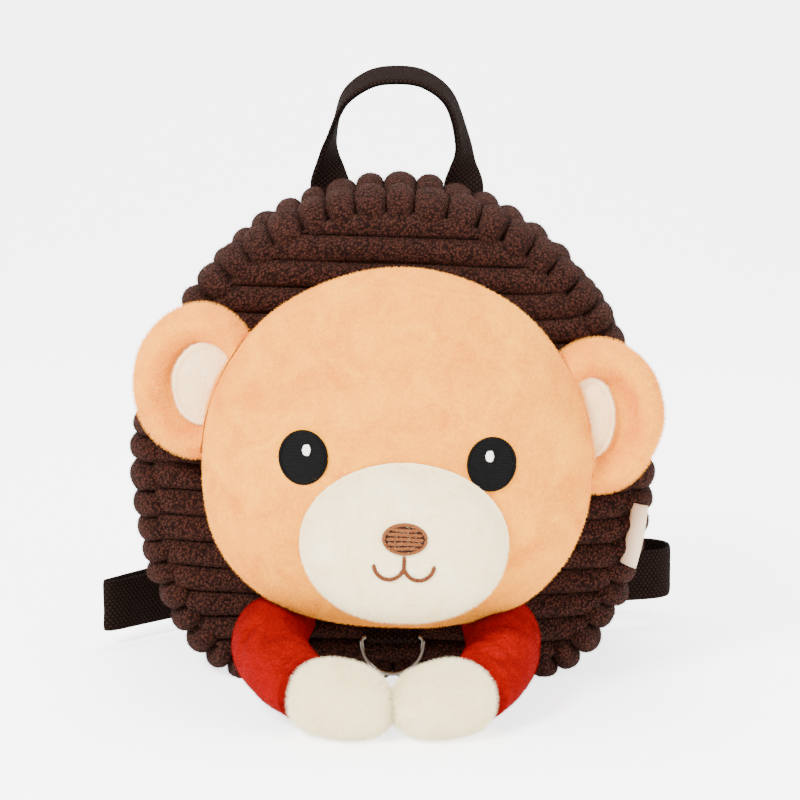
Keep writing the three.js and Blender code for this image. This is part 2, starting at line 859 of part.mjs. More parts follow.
// A plain ladder lock: a frame with two slots.
function strapLock(side) {
  const halfWide = strapLockWidth / 2;
  const slotHalf = webbingWidth / 2 + clearance;
  const barHeight = strapLockHeight * 0.2;
  const slotHeight = strapLockHeight * 0.2;
  const outline = (x, z, wide, high) => [
    new THREE.Vector2(x - wide, z), new THREE.Vector2(x + wide, z),
    new THREE.Vector2(x + wide, z + high), new THREE.Vector2(x - wide, z + high),
  ];
  const shape = new THREE.Shape(outline(0, 0, halfWide, strapLockHeight));
  shape.holes.push(new THREE.Path(outline(0, barHeight, slotHalf, slotHeight)));
  shape.holes.push(new THREE.Path(outline(0, 2 * barHeight + slotHeight, slotHalf, slotHeight)));
  const geometry = new THREE.ExtrudeGeometry(shape, { depth: strapLockThickness, bevelEnabled: false });
  const low = strapEnd - clearance * 2 - strapLockHeight;
  return remap(geometry, (x, up, back) => behind(
    side * strapFoot.across * bagWidth - x,
    clearance + strapBow * strapFoot.bow + back,
    low + up));
}

const loopTables = {
  // across: share from the strap's foot to loopReach; back: behind the back panel, share of bagDepth;
  // up: share from the loop's height to the lock; turn: 0 flat, 1 on edge
  right: [
    { across: 0.00, back: 0.02, up: 1.00, turn: 0.0 },
    { across: 0.00, back: 0.02, up: 0.90, turn: 0.0 },
    { across: 0.01, back: 0.06, up: 0.76, turn: 0.0 },
    { across: 0.16, back: 0.24, up: 0.36, turn: 0.5 },
    { across: 0.42, back: 0.42, up: 0.08, turn: 0.9 },
    { across: 0.70, back: 0.50, up: 0.00, turn: 1.0 },
    { across: 0.93, back: 0.44, up: 0.00, turn: 1.0 },
    { across: 1.00, back: 0.30, up: 0.00, turn: 1.0 },
    { across: 0.92, back: 0.16, up: 0.00, turn: 1.0 },
    { across: 0.66, back: 0.08, up: 0.00, turn: 1.0 },
    { across: 0.36, back: 0.03, up: 0.00, turn: 1.0 },
    { across: 0.20, back: 0.00, up: 0.00, turn: 1.0 },
    { across: 0.06, back: 0.00, up: 0.00, turn: 1.0 },
  ],
  left: [
    { across: 0.00, back: 0.02, up: 1.00, turn: 0.0 },
    { across: 0.00, back: 0.02, up: 0.90, turn: 0.0 },
    { across: 0.01, back: 0.06, up: 0.76, turn: 0.0 },
    { across: 0.10, back: 0.22, up: 0.40, turn: 0.5 },
    { across: 0.28, back: 0.32, up: 0.10, turn: 0.9 },
    { across: 0.52, back: 0.20, up: 0.00, turn: 1.0 },
    { across: 0.80, back: -0.14, up: 0.00, turn: 1.0 },
    { across: 0.96, back: -0.34, up: 0.00, turn: 1.0 },
    { across: 1.00, back: -0.40, up: 0.00, turn: 1.0 },
    { across: 0.94, back: -0.40, up: 0.00, turn: 1.0 },
    { across: 0.76, back: -0.24, up: 0.00, turn: 1.0 },
    { across: 0.54, back: -0.05, up: 0.00, turn: 1.0 },
    { across: 0.38, back: 0.01, up: 0.00, turn: 1.0 },
    { across: 0.22, back: 0.00, up: 0.00, turn: 1.0 },
    { across: 0.06, back: 0.00, up: 0.00, turn: 1.0 },
  ],
};

function webbingLoop(side, rows, height) {
  const foot = strapFoot.across * bagWidth;
  const lockBottom = strapEnd - clearance * 3 - strapLockHeight;
  const table = rows.map((row) => ({
    at: behind(
      side * THREE.MathUtils.lerp(foot, loopReach - webbingThickness / 2, row.across),
      clearance + webbingThickness / 2 + row.back * bagDepth,
      THREE.MathUtils.lerp(height, lockBottom, row.up)),
    turn: row.turn,
  }));
  return band(table, new THREE.Vector3(side, 0, 0), upright, webbingWidth, webbingThickness, 32);
}

// Side label, folded over, sewn into the front seam on the right
function sideLabel() {
  const samples = outlineSamples(ribCount * 4).filter((sample) => sample.x > 0 && sample.z < bagHeight / 2);
  const inLabel = samples.filter((sample) => Math.abs(sample.z - labelHeight) <= labelLength / 2);
  const rootOut = clearance * 4;
  const rootForward = clearance * 3;
  const proud = 6;
  const rings = inLabel.map((sample) => [
    [0, 0], [proud, proud * 0.7], [proud - labelThickness * 0.6, proud * 0.7 + labelThickness * 0.8],
    [-labelThickness * 0.6, labelThickness * 0.8],
  ].map(([out, forward]) => inFront(
    sample.x + sample.outX * (rootOut + out),
    rootForward + forward,
    sample.z + sample.outZ * (rootOut + out))));
  return capped(rings);
}

// Mouth: a stem and two hanging arcs, as one outline
function mouthPoints() {
  const half = mouthStroke / 2;
  const radius = mouthWidth / 4;
  const steps = 8;
  const curve = (size, from, to) => Array.from({ length: steps + 1 }, (_, i) => {
    const angle = THREE.MathUtils.lerp(from, to, i / steps);
    return [radius + size * Math.cos(angle), -size * Math.sin(angle)];
  });
  const meeting = Math.acos(-radius / (radius + half));
  const right = [[half, mouthStem], ...curve(radius - half, Math.PI, 0), ...curve(radius + half, 0, meeting)];
  const left = right.slice(0, -1).reverse().map(([x, z]) => [-x, z]);
  return [...right, ...left];
}

// Assembly
const backpack = new THREE.Group();

function add(name, geometry, material) {
  const mesh = new THREE.Mesh(geometry, material);
  mesh.name = name;
  backpack.add(mesh);
}

add('front_panel', frontPanel(), fabric(colours.corduroy));
add('front_gusset', gusset(-1), fabric(colours.corduroy));
add('back_gusset', gusset(1), fabric(colours.corduroy));
add('back_panel', backPanel(), fabric(colours.corduroy));
add('zip_tape', zipTape(), fabric(colours.webbing));
add('zip_slider', zipSlider(), metal(colours.webbing));

const room = panelRoom(clearance);
const headClear = headBody(clearance);
add('head', fromManifold(headBody(0).subtract(room)), fabric(colours.tan));
add('muzzle', fromManifold(muzzleBody(0).subtract(headClear)), fabric(colours.cream));

ears.forEach((ear) => {
  const body = earBody(ear, 0).subtract(headClear).subtract(room);
  add(`ear_${ear.name}`, fromManifold(body), fabric(colours.tan));
  const lining = earBody(ear, liningLift).intersect(liningPrism(ear)).subtract(earBody(ear, clearance)).subtract(headClear);
  add(`ear_lining_${ear.name}`, fromManifold(lining), fabric(colours.earPink));
});

eyes.forEach((eye) => {
  const x = eye.across * headWidth;
  const z = eye.up * headHeight;
  const disc = headPrism(ovalPoints(x, z, eyeWidth, eyeHeight, 20));
  add(`eye_${eye.name}`, layerOn(headBody, clearance, clearance + stitchLift, disc), fabric(colours.black));
  const spot = headPrism(ovalPoints(x + eye.glint * eyeWidth, z + eyeHeight * 0.15, glintWidth, glintHeight, 10));
  const low = clearance * 2 + stitchLift;
  add(`eye_glint_${eye.name}`, layerOn(headBody, low, low + 0.6, spot), fabric(colours.white));
});

const nosePrism = muzzlePrism(ovalPoints(muzzleAcross, muzzleUp + noseLift, noseWidth, noseHeight, 16));
add('nose', layerOn(muzzleBody, clearance, clearance + stitchLift, nosePrism), fabric(colours.nose));
const mouthUp = muzzleUp + noseLift - noseHeight / 2 - clearance - mouthStem;
const mouthPrism = muzzlePrism(mouthPoints().map(([x, z]) => [muzzleAcross + x, mouthUp + z]));
add('mouth', layerOn(muzzleBody, clearance, clearance + stitchLift, mouthPrism), fabric(colours.mouth));

[['left', -1], ['right', 1]].forEach(([name, side]) => {
  add(`sleeve_${name}`, sleeve(side), fabric(colours.red));
  add(`paw_${name}`, paw(side), fabric(colours.cream));
  add(`strap_${name}`, shoulderStrap(side), fabric(colours.corduroy));
  add(`strap_slider_${name}`, strapLock(side), fabric(colours.webbing));
  add(`webbing_${name}`, webbingLoop(side, loopTables[name], loopHeights[name]), fabric(colours.webbing));
});

add('handle', handle(), fabric(colours.webbing));
add('d_ring_tab', dRingTab(), fabric(colours.webbing));
add('d_ring', dRing(), metal(colours.steel));
add('side_label', sideLabel(), fabric(colours.label));

// The origin lies on the floor under the middle of the whole backpack.
const extent = new THREE.Box3().setFromObject(backpack);
const centre = extent.getCenter(new THREE.Vector3());
backpack.position.set(-centre.x, -centre.y, -extent.min.z);

export default backpack;
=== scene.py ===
# A toddler's harness backpack: a round corduroy bag with a plush bear's head and arms
# on its front, a haul handle, a D-ring under the chin and two shoulder straps.
# Sizes are in millimetres until a mesh is made. The front faces -Y.
import math

import bpy
import numpy as np
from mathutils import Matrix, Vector


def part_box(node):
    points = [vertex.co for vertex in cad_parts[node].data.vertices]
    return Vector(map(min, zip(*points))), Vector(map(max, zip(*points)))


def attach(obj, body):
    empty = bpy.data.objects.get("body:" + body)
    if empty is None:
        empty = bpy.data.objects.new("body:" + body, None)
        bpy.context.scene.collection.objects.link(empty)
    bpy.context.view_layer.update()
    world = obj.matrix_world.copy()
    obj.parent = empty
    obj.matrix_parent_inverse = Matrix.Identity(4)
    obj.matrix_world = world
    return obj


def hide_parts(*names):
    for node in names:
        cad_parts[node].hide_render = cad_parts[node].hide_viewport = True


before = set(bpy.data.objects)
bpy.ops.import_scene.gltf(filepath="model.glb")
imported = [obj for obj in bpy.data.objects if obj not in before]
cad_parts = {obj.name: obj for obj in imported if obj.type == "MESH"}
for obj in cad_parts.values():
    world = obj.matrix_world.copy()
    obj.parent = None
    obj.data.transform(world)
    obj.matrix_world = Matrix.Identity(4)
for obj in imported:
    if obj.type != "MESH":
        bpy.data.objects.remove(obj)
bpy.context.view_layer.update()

MM = 0.001

# Bag body
BAG_WIDTH = 222.0
BAG_HEIGHT = 217.0
BAG_DEPTH = 80.0
WAIST_HEIGHT = 95.0
FOOT_WIDTH = 124.0
SEAM_LIFT = 7.0
LEAN = math.tan(math.radians(5))
CLOTH_WALL = 3.0
CLEARANCE = 0.3
HALF_DEPTH = BAG_DEPTH / 2
GUSSET_BULGE = 12.5
RIB_COUNT = 60
RIB_RELIEF = 4.0
ZIP_SHARE = 0.66
ZIP_GAP = 7.0
PANEL_CROWN = 15.0
WALE_COUNT = 18
WALE_RELIEF = 3.0
BACK_PADDING = 5.0
CREST = CLEARANCE + CLOTH_WALL + WALE_RELIEF
GROOVE_DEPTH = 6.0
TOP_RIB_GAIN = 0.25
TOP_RIB_SPREAD = 0.16
ZIP_FLOOR = 0.35 * GUSSET_BULGE - 0.3 * RIB_RELIEF - CLOTH_WALL - CLEARANCE
HAIR_WIDTH = 0.09
FLOOR_GAP = 0.0002  # metres: noise leaves points on the floor where they are

# Head
HEAD_WIDTH = 177.0
HEAD_HEIGHT = 162.0
HEAD_DEPTH = 68.0
HEAD_ACROSS = 2.0
HEAD_BOTTOM = 32.0
HEAD_ROLL = math.radians(2)
MUZZLE_WIDTH = 91.0
MUZZLE_HEIGHT = 71.0
MUZZLE_DEPTH = 30.0
EAR_WIDTH = 59.0
EAR_HEIGHT = 70.0
EAR_DEPTH = 27.0

# Embroidery, whose lifts are its heights above the cloth
EYE_WIDTH = 22.0
EYE_HEIGHT = 24.0
EYE_LIFT = 1.5
GLINT_WIDTH = 3.8
GLINT_HEIGHT = 4.6
GLINT_FOOT = 1.3
GLINT_LIFT = 0.7
NOSE_WIDTH = 20.0
NOSE_HEIGHT = 14.0
NOSE_ABOVE = 6.2
NOSE_ROWS = 5
NOSE_BASE_LIFT = 0.7
NOSE_RIM_LIFT = 1.3
NOSE_ROW_LIFT = 1.15
MOUTH_WIDTH = 26.0
MOUTH_STROKE = 1.9
MOUTH_STEM = 4.2
MOUTH_LIFT = 1.1
THREAD_PITCH = 1.3
STROKE_STEP = 0.16

# Arms
SLEEVE_RADIUS = 16.0
ARM_SPREAD = {-1: 1.0, 1: 0.7}
ARM_REACH = 106.0
PAW_WIDTH = 39.0
PAW_HEIGHT = 30.0
PAW_LENGTH = 41.0
PAW_TURN = math.radians(63)
PAW_TIP_LIFT = 0.16

# Webbing and straps
WEBBING_WIDTH = 25.0
WEBBING_THICKNESS = 1.6
HANDLE_SPAN = 66.0
HANDLE_RISE = 64.0
HANDLE_WIDTH = 20.0
HANDLE_THICKNESS = 3.0
HANDLE_TILT = math.radians(22)
RING_INNER = 26.0
RING_WIRE = 2.2
RING_DROP = 17.5
RING_BAR_HEIGHT = 23.5
TAB_WIDTH = 24.0
TAB_THICKNESS = 1.3
STRAP_WIDTH = 38.0
STRAP_THICKNESS = 5.0
STRAP_TOP = BAG_HEIGHT * 0.9
HANDLE_FOOT = STRAP_TOP + 2.9
STRAP_END = BAG_HEIGHT * 0.31
STRAP_BOW = 22.0
STRAP_LOCK_HEIGHT = 20.0
LOOP_REACH = 142.0
LOOP_HEIGHTS = {"left": 20.0, "right": 25.0}
LABEL_LENGTH = 29.0
LABEL_HEIGHT = 69.0

# The frame's shift from the bag's own middle
gusset_low, gusset_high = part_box("front_gusset")
back_low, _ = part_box("back_panel")
SHIFT_X = (gusset_low[0] + gusset_high[0]) / 2 / MM
SHIFT_Y = back_low[1] / MM - HALF_DEPTH - CLEARANCE - SEAM_LIFT * LEAN


# Places

def in_bag(x, depth, z):
    return np.stack(np.broadcast_arrays(x + SHIFT_X, depth + z * LEAN + SHIFT_Y, z), axis=-1).astype(float)


def in_front(x, forward, z):
    return in_bag(x, -HALF_DEPTH - forward, z)


def behind(x, back, z):
    return in_bag(x, HALF_DEPTH + CLEARANCE + BACK_PADDING + back, z)


HEAD_X = HEAD_ACROSS
HEAD_Z = HEAD_BOTTOM + HEAD_HEIGHT * 0.47


def on_head(x, z):
    """From the head's own across and up to the bag's, turned with the head."""
    turned_x = HEAD_X + x * math.cos(HEAD_ROLL) + z * math.sin(HEAD_ROLL)
    turned_z = HEAD_Z - x * math.sin(HEAD_ROLL) + z * math.cos(HEAD_ROLL)
    return turned_x, turned_z


def from_head(x, z):
    """The way back from the bag's across and up to the head's own."""
    dx, dz = x - HEAD_X, z - HEAD_Z
    across = dx * math.cos(HEAD_ROLL) - dz * math.sin(HEAD_ROLL)
    return across, dx * math.sin(HEAD_ROLL) + dz * math.cos(HEAD_ROLL)


# Number helpers

def lumps(points, size, seed):
    """Smooth noise from -1 to 1 over points, with lumps of the given size."""
    q = np.asarray(points, float) / size + seed * 17.31
    low = np.floor(q)
    part = q - low
    part = part * part * (3 - 2 * part)
    total = np.zeros(q.shape[:-1])
    for corner in np.ndindex(2, 2, 2):
        at = low + np.array(corner)
        mixed = at[..., 0] * 127.1 + at[..., 1] * 311.7 + at[..., 2] * 74.7 + seed * 19.19
        value = np.mod(np.sin(mixed) * 43758.5453, 1.0)
        weight = np.prod(np.where(np.array(corner) == 1, part, 1 - part), axis=-1)
        total += weight * value
    return total * 2 - 1


def smooth_rows(rows, count):
    """Catmull-Rom rows through a table's rows, evenly spaced along it."""
    rows = np.asarray(rows, float)
    padded = np.vstack([2 * rows[0] - rows[1], rows, 2 * rows[-1] - rows[-2]])
    places = np.linspace(0, len(rows) - 1, count)
    index = np.minimum(places.astype(int), len(rows) - 2)
    t = (places - index)[:, None]
    a, b, c, d = (padded[index + k] for k in range(4))
    square, cube = 2 * a - 5 * b + 4 * c - d, 3 * b - a - 3 * c + d
    return 0.5 * (2 * b + (c - a) * t + square * t ** 2 + cube * t ** 3)


def circle(count):
    return np.linspace(0, 2 * np.pi, count, endpoint=False)


def unit(vectors):
    return vectors / np.linalg.norm(vectors, axis=1)[:, None]


def distances(path):
    """How far along a path each of its points is."""
    return np.concatenate([[0], np.cumsum(np.linalg.norm(np.diff(path, axis=0), axis=1))])


def sample(table, places, along):
    """Rows of a table at the given places, where along says each row's own place."""
    return np.stack([np.interp(places, along, table[:, k]) for k in range(table.shape[1])], axis=1)


def even_rows(rows, count):
    """The same curve, with rows at even distances."""
    curve = smooth_rows(rows, 600)
    along = distances(curve)
    return sample(curve, np.linspace(0, along[-1], count), along)


def even_loop(path, count):
    """Evenly spaced points round a closed path, and the path's directions there."""
    along = distances(path)
    points = sample(path, np.linspace(0, along[-1], count, endpoint=False), along)
    return points, unit(np.roll(points, -1, axis=0) - np.roll(points, 1, axis=0))


def profile(rows, count):
    """Even rows of a stuffed piece's table, whose sizes stay above nothing."""
    curve = even_rows(rows, count)
    curve[:, 0] = np.maximum(curve[:, 0], 0.004)
    return curve


def rib_wave(t, power=2.4):
    """A pillow's rise across a rib, 0 in the grooves and 1 on the crest."""
    return np.sqrt(np.maximum(1 - np.abs(2 * t - 1) ** power, 0))


# Bag outline

def outline(count):
    """Evenly spaced seam points from the bottom middle round, and their outward directions."""
    side = BAG_WIDTH / 2
    foot = FOOT_WIDTH / 2
    knee = SEAM_LIFT + (WAIST_HEIGHT - SEAM_LIFT) * 0.5
    corner = side * 0.8
    t = np.linspace(0, 1, 200)[:, None]
    a, b = np.array([foot, SEAM_LIFT]), np.array([corner, SEAM_LIFT])
    c, d = np.array([side, knee]), np.array([side, WAIST_HEIGHT])
    flank = (1 - t) ** 3 * a + 3 * (1 - t) ** 2 * t * b + 3 * (1 - t) * t ** 2 * c + t ** 3 * d
    turn = np.linspace(0, np.pi, 500)[1:-1]
    dome = np.stack([side * np.cos(turn), WAIST_HEIGHT + (BAG_HEIGHT - WAIST_HEIGHT) * np.sin(turn)], axis=1)
    left = flank[::-1] * np.array([-1, 1])
    points, along = even_loop(np.vstack([[0, SEAM_LIFT], flank, dome, left, [0, SEAM_LIFT]]), count)
    return points, np.stack([along[:, 1], -along[:, 0]], axis=1)


SEAM, _ = outline(1200)
RIGHT_SEAM = SEAM[SEAM[:, 0] >= 0]
RIGHT_SEAM = RIGHT_SEAM[np.argsort(RIGHT_SEAM[:, 1])]


def half_width(z):
    return np.interp(z, RIGHT_SEAM[:, 1], np.maximum(RIGHT_SEAM[:, 0], 0))


def crown(x, z):
    """How far the front panel's crown stands out."""
    half = np.maximum(half_width(z), 1.0)
    reach = np.where(z > WAIST_HEIGHT, BAG_HEIGHT - WAIST_HEIGHT, WAIST_HEIGHT - SEAM_LIFT)
    across = np.minimum(np.abs(x) / half, 1)
    up = np.minimum(np.abs(z - WAIST_HEIGHT) / reach, 1)
    return PANEL_CROWN * np.sqrt((1 - across ** 2) * (1 - up ** 2))


# Meshes

def add_object(name, data):
    made = bpy.data.objects.new(name, data)
    bpy.context.scene.collection.objects.link(made)
    return made


def read(items, key, width, kind=float):
    """A property of every item of a mesh, as rows."""
    values = np.empty(len(items) * width, kind)
    items.foreach_get(key, values)
    return values.reshape(-1, width)


def shade(mesh, smooth):
    mesh.polygons.foreach_set("use_smooth", [smooth] * len(mesh.polygons))


def mesh_piece(name, points, faces, uv=None):
    """A mesh object from points in millimetres, its faces pointing outwards."""
    points = np.asarray(points, float) * MM
    mesh = bpy.data.meshes.new(name)
    mesh.from_pydata(points.tolist(), [], faces)
    if uv is not None:
        layer = mesh.uv_layers.new(name="cloth")
        index = read(mesh.loops, "vertex_index", 1, int).ravel()
        layer.data.foreach_set("uv", (uv[index] * MM).ravel())
    mesh.update()
    mesh.calc_loop_triangles()
    corners = points[read(mesh.loop_triangles, "vertices", 3, int)]
    if np.einsum("ij,ij->i", corners[:, 0], np.cross(corners[:, 1], corners[:, 2])).sum() < 0:
        mesh.flip_normals()
    shade(mesh, True)
    mesh.update()
    return add_object(name, mesh)


def roughen(piece, size, height, seed):
    """Move the points along their normals by smooth noise."""
    mesh = piece.data
    places = read(mesh.vertices, "co", 3)
    normals = read(mesh.vertex_normals, "vector", 3)
    moved = places + normals * (lumps(places / MM, size, seed) * height * MM)[:, None]
    moved[:, 2] = np.maximum(moved[:, 2], np.minimum(places[:, 2], FLOOR_GAP))
    mesh.vertices.foreach_set("co", moved.ravel())
    mesh.update()


def skin(name, rings, material, *rough, uv=None, loop=False):
    """A closed skin over rings of points, with a fan at each end unless it is a loop.

    Each row of rough is the size, height and seed of some noise on it.
    """
    rings = np.asarray(rings, float)
    turns, count = rings.shape[:2]
    index = np.arange(turns * count).reshape(turns, count)
    low = index if loop else index[:-1]
    high = np.roll(index, -1, axis=0) if loop else index[1:]
    quads = [low, high, np.roll(high, -1, axis=1), np.roll(low, -1, axis=1)]
    faces = np.stack(quads, axis=-1).reshape(-1, 4).tolist()
    points = rings.reshape(-1, 3)
    coords = None if uv is None else np.asarray(uv, float).reshape(-1, 2)
    if not loop:
        points = np.vstack([points, rings[0].mean(axis=0), rings[-1].mean(axis=0)])
        start, end, last = turns * count, turns * count + 1, (turns - 1) * count
        faces += [(start, i, (i + 1) % count) for i in range(count)]
        faces += [(end, last + (i + 1) % count, last + i) for i in range(count)]
        if coords is not None:
            coords = np.vstack([coords, coords[0], coords[-1]])
    piece = mesh_piece(name, points, faces, coords)
    for size, height, seed in rough:
        roughen(piece, size, height, seed)
    return dress(piece, material)


def dress(piece, material):
    piece.data.materials.clear()
    piece.data.materials.append(material)
    return piece


def seat(piece, slot, *nodes, body="bag", padding=None):
    """Say which body a piece rides on and the solids it stands for. The material slot is not used."""
    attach(piece, body)
    if nodes:
        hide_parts(*nodes)


def join(name, parts):
    """One piece from several meshes that share a body."""
    made = parts[0]
    with bpy.context.temp_override(active_object=made, selected_editable_objects=parts, object=made):
        bpy.ops.object.join()
    made.name = name
    made.data.name = name
    return made


# Nodes

def wire(tree, made, inputs):
    """Set a node's inputs, each to a link or to a plain value."""
    for key, value in inputs.items():
        if isinstance(value, bpy.types.NodeSocket):
            tree.links.new(value, made.inputs[key])
        else:
            made.inputs[key].default_value = value


def node(tree, kind, inputs=None, **settings):
    made = tree.nodes.new(kind)
    for key, value in settings.items():
        setattr(made, key, value)
    wire(tree, made, inputs or {})
    return made


def new_group(name, kind, inputs, outputs):
    """A node group, its given values, its last node and its inputs' identifiers."""
    tree = bpy.data.node_groups.new(name, kind)
    identifiers = {}
    for label, socket in inputs.items():
        made = tree.interface.new_socket(label, in_out="INPUT", socket_type="NodeSocket" + socket)
        identifiers[label] = made.identifier
    for label, socket in outputs.items():
        tree.interface.new_socket(label, in_out="OUTPUT", socket_type="NodeSocket" + socket)
    return tree, node(tree, "NodeGroupInput").outputs, node(tree, "NodeGroupOutput"), identifiers


def noise(tree, vector, scale, detail, roughness=0.6, distortion=0.0, output="Fac"):
    return node(tree, "ShaderNodeTexNoise", {
        "Vector": vector, "Scale": scale, "Detail": detail, "Roughness": roughness, "Distortion": distortion,
    }).outputs[output]


def maths(tree, operation, *values):
    return node(tree, "ShaderNodeMath", dict(enumerate(values)), operation=operation).outputs[0]


# Hairs, stitches and teeth

def realize(tree, instances, material, result):
    """Turn instances into one mesh with a material, as the group's result."""
    real = node(tree, "GeometryNodeRealizeInstances", {"Geometry": instances}).outputs["Geometry"]
    paint = node(tree, "GeometryNodeSetMaterial", {"Geometry": real, "Material": material})
    wire(tree, result, {"Geometry": paint.outputs["Geometry"]})


def make_fuzz_group():
    """Fine upright hairs, scattered over a piece."""
    tree, given, result, identifiers = new_group("pile_fuzz", "GeometryNodeTree", {
        "Geometry": "Geometry", "Density": "Float", "Length": "Float", "Width": "Float", "Lean": "Float",
        "Seed": "Int", "Material": "Material",
    }, {"Geometry": "Geometry"})
    tree.is_modifier = True
    scatter = node(tree, "GeometryNodeDistributePointsOnFaces", {
        "Mesh": given["Geometry"], "Density": given["Density"], "Seed": given["Seed"]})
    hair = node(tree, "GeometryNodeMeshCone", {
        "Vertices": 3, "Radius Top": 0.0, "Radius Bottom": given["Width"], "Depth": given["Length"],
    }, fill_type="NONE")
    leans = (maths(tree, "MULTIPLY", given["Lean"], -1.0), given["Lean"])
    low, high = (node(tree, "ShaderNodeCombineXYZ", {"X": lean, "Y": lean}) for lean in leans)
    turn = node(tree, "FunctionNodeRandomValue", {
        "Min": low.outputs[0], "Max": high.outputs[0], "Seed": given["Seed"]}, data_type="FLOAT_VECTOR")
    plant = node(tree, "GeometryNodeInstanceOnPoints", {
        "Points": scatter.outputs["Points"], "Instance": hair.outputs["Mesh"],
        "Rotation": scatter.outputs["Rotation"]})
    bend = node(tree, "GeometryNodeRotateInstances", {
        "Instances": plant.outputs["Instances"], "Rotation": turn.outputs["Value"]})
    realize(tree, bend.outputs["Instances"], given["Material"], result)
    return tree, identifiers


def make_bead_group():
    """A rounded bit on every point of a path, turned along it."""
    tree, given, result, identifiers = new_group("thread_beads", "GeometryNodeTree", {
        "Geometry": "Geometry", "Size": "Vector", "Material": "Material"}, {"Geometry": "Geometry"})
    tree.is_modifier = True
    bead = node(tree, "GeometryNodeMeshUVSphere", {"Segments": 6, "Rings": 4, "Radius": 0.5})
    along, up = (node(tree, "GeometryNodeInputNamedAttribute", {"Name": name}, data_type="FLOAT_VECTOR")
                 for name in ("along", "up"))
    aim = node(tree, "FunctionNodeAlignRotationToVector", {"Vector": along.outputs["Attribute"]}, axis="X")
    roll = node(tree, "FunctionNodeAlignRotationToVector", {
        "Rotation": aim.outputs["Rotation"], "Vector": up.outputs["Attribute"]}, axis="Z", pivot_axis="X")
    points = node(tree, "GeometryNodeMeshToPoints", {"Mesh": given["Geometry"]})
    plant = node(tree, "GeometryNodeInstanceOnPoints", {
        "Points": points.outputs["Points"], "Instance": bead.outputs["Mesh"],
        "Rotation": roll.outputs["Rotation"], "Scale": given["Size"]})
    realize(tree, plant.outputs["Instances"], given["Material"], result)
    return tree, identifiers


FUZZ, BEADS = make_fuzz_group(), make_bead_group()


def grown(piece, group, values):
    """The mesh that a node group makes of a piece."""
    tree, identifiers = group
    modifier = piece.modifiers.new(tree.name, "NODES")
    modifier.node_group = tree
    for name, value in values.items():
        modifier[identifiers[name]] = value
    made = bpy.data.meshes.new_from_object(piece.evaluated_get(bpy.context.evaluated_depsgraph_get()))
    piece.modifiers.remove(modifier)
    return made


def fuzz(piece, hairs, length, lean, seed):
    """A coat of hairs over a piece, as a mesh object of its own."""
    # Tan and cream plush give their hairs a paler copy of their colour, a painted rim highlight along the
    # silhouettes.
    cloth = piece.data.materials[0]
    area = float(read(piece.data.polygons, "area", 1).sum())
    coat = grown(piece, FUZZ, {
        "Density": hairs / area, "Length": length * MM, "Width": HAIR_WIDTH * MM, "Lean": lean, "Seed": seed,
        "Material": COATS.get(cloth, cloth),
    })
    coat.name = "fuzz_" + piece.name
    places = read(coat.vertices, "co", 3)
    places[:, 2] = np.maximum(places[:, 2], 0.0)
    coat.vertices.foreach_set("co", places.ravel())
    shade(coat, False)
    return add_object(coat.name, coat)


def beads(name, path, up, pitch, size, material, closed=False):
    """Rounded bits, such as stitches or zip teeth, at an even pitch along a path."""
    up = np.broadcast_to(np.asarray(up, float), path.shape)
    if closed:
        path, up = np.vstack([path, path[:1]]), np.vstack([up, up[:1]])
    length = distances(path)
    places = np.arange(pitch / 2, length[-1], pitch)
    spots, ahead, back = (sample(path, places + step, length) for step in (0, 0.2, -0.2))
    mesh = bpy.data.meshes.new(name)
    mesh.from_pydata((spots * MM).tolist(), [], [])
    for label, values in (("along", ahead - back), ("up", sample(up, places, length))):
        layer = mesh.attributes.new(label, "FLOAT_VECTOR", "POINT")
        layer.data.foreach_set("vector", values.ravel())
    piece = add_object(name, mesh)
    piece.data = grown(piece, BEADS, {"Size": [side * MM for side in size], "Material": material})
    piece.data.name = name
    shade(piece.data, True)
    return piece


# Materials

SHADE_AND_HEIGHT = {"Shade": "Float", "Height": "Float"}


def make_pile_group():
    """Short pile: brushed patches and single tufts."""
    tree, given, result, _ = new_group("brushed_pile", "ShaderNodeTree", {
        "Vector": "Vector", "Tuft Scale": "Float", "Patch Scale": "Float"}, SHADE_AND_HEIGHT)
    tufts = noise(tree, given["Vector"], given["Tuft Scale"], 3.0, 0.7)
    patches = noise(tree, given["Vector"], given["Patch Scale"], 4.0, 0.6, 1.2)
    wire(tree, result, {
        "Shade": maths(tree, "MULTIPLY_ADD", tufts, 0.45, maths(tree, "MULTIPLY", patches, 0.55)),
        "Height": maths(tree, "MULTIPLY_ADD", patches, 0.9, tufts),
    })
    return tree


def make_tuft_group():
    """Nubby pile: rounded tufts in loose rows, with painted shade darkening the gaps between them."""
    tree, given, result, _ = new_group("tufted_pile", "ShaderNodeTree", {
        "Vector": "Vector", "Scale": "Float"}, SHADE_AND_HEIGHT)
    wander = noise(tree, given["Vector"], 500.0, 2.0, output="Color")
    nudge = node(tree, "ShaderNodeVectorMath", {0: wander, "Scale": 0.0012}, operation="SCALE")
    moved = node(tree, "ShaderNodeVectorMath", {0: given["Vector"], 1: nudge.outputs[0]}, operation="ADD")
    cells = node(tree, "ShaderNodeTexVoronoi", {
        "Vector": moved.outputs[0], "Scale": given["Scale"]}, feature="F1").outputs
    round_top = node(tree, "ShaderNodeMapRange", {
        "From Min": 0.75, "From Max": 0.15, "Value": cells["Distance"]}, interpolation_type="SMOOTHSTEP")
    fibres = noise(tree, given["Vector"], 2600.0, 2.0, 0.7)
    height = maths(tree, "MULTIPLY_ADD", fibres, 0.5, round_top.outputs["Result"])
    patches = noise(tree, given["Vector"], 70.0, 3.0, 0.6, 0.8)
    # The shade value follows the tufts' height, so the gaps between tufts are painted darker: painted shade.
    level = maths(tree, "MULTIPLY", maths(tree, "MULTIPLY_ADD", patches, 0.55, height), 0.52)
    wire(tree, result, {"Shade": level, "Height": height})
    return tree


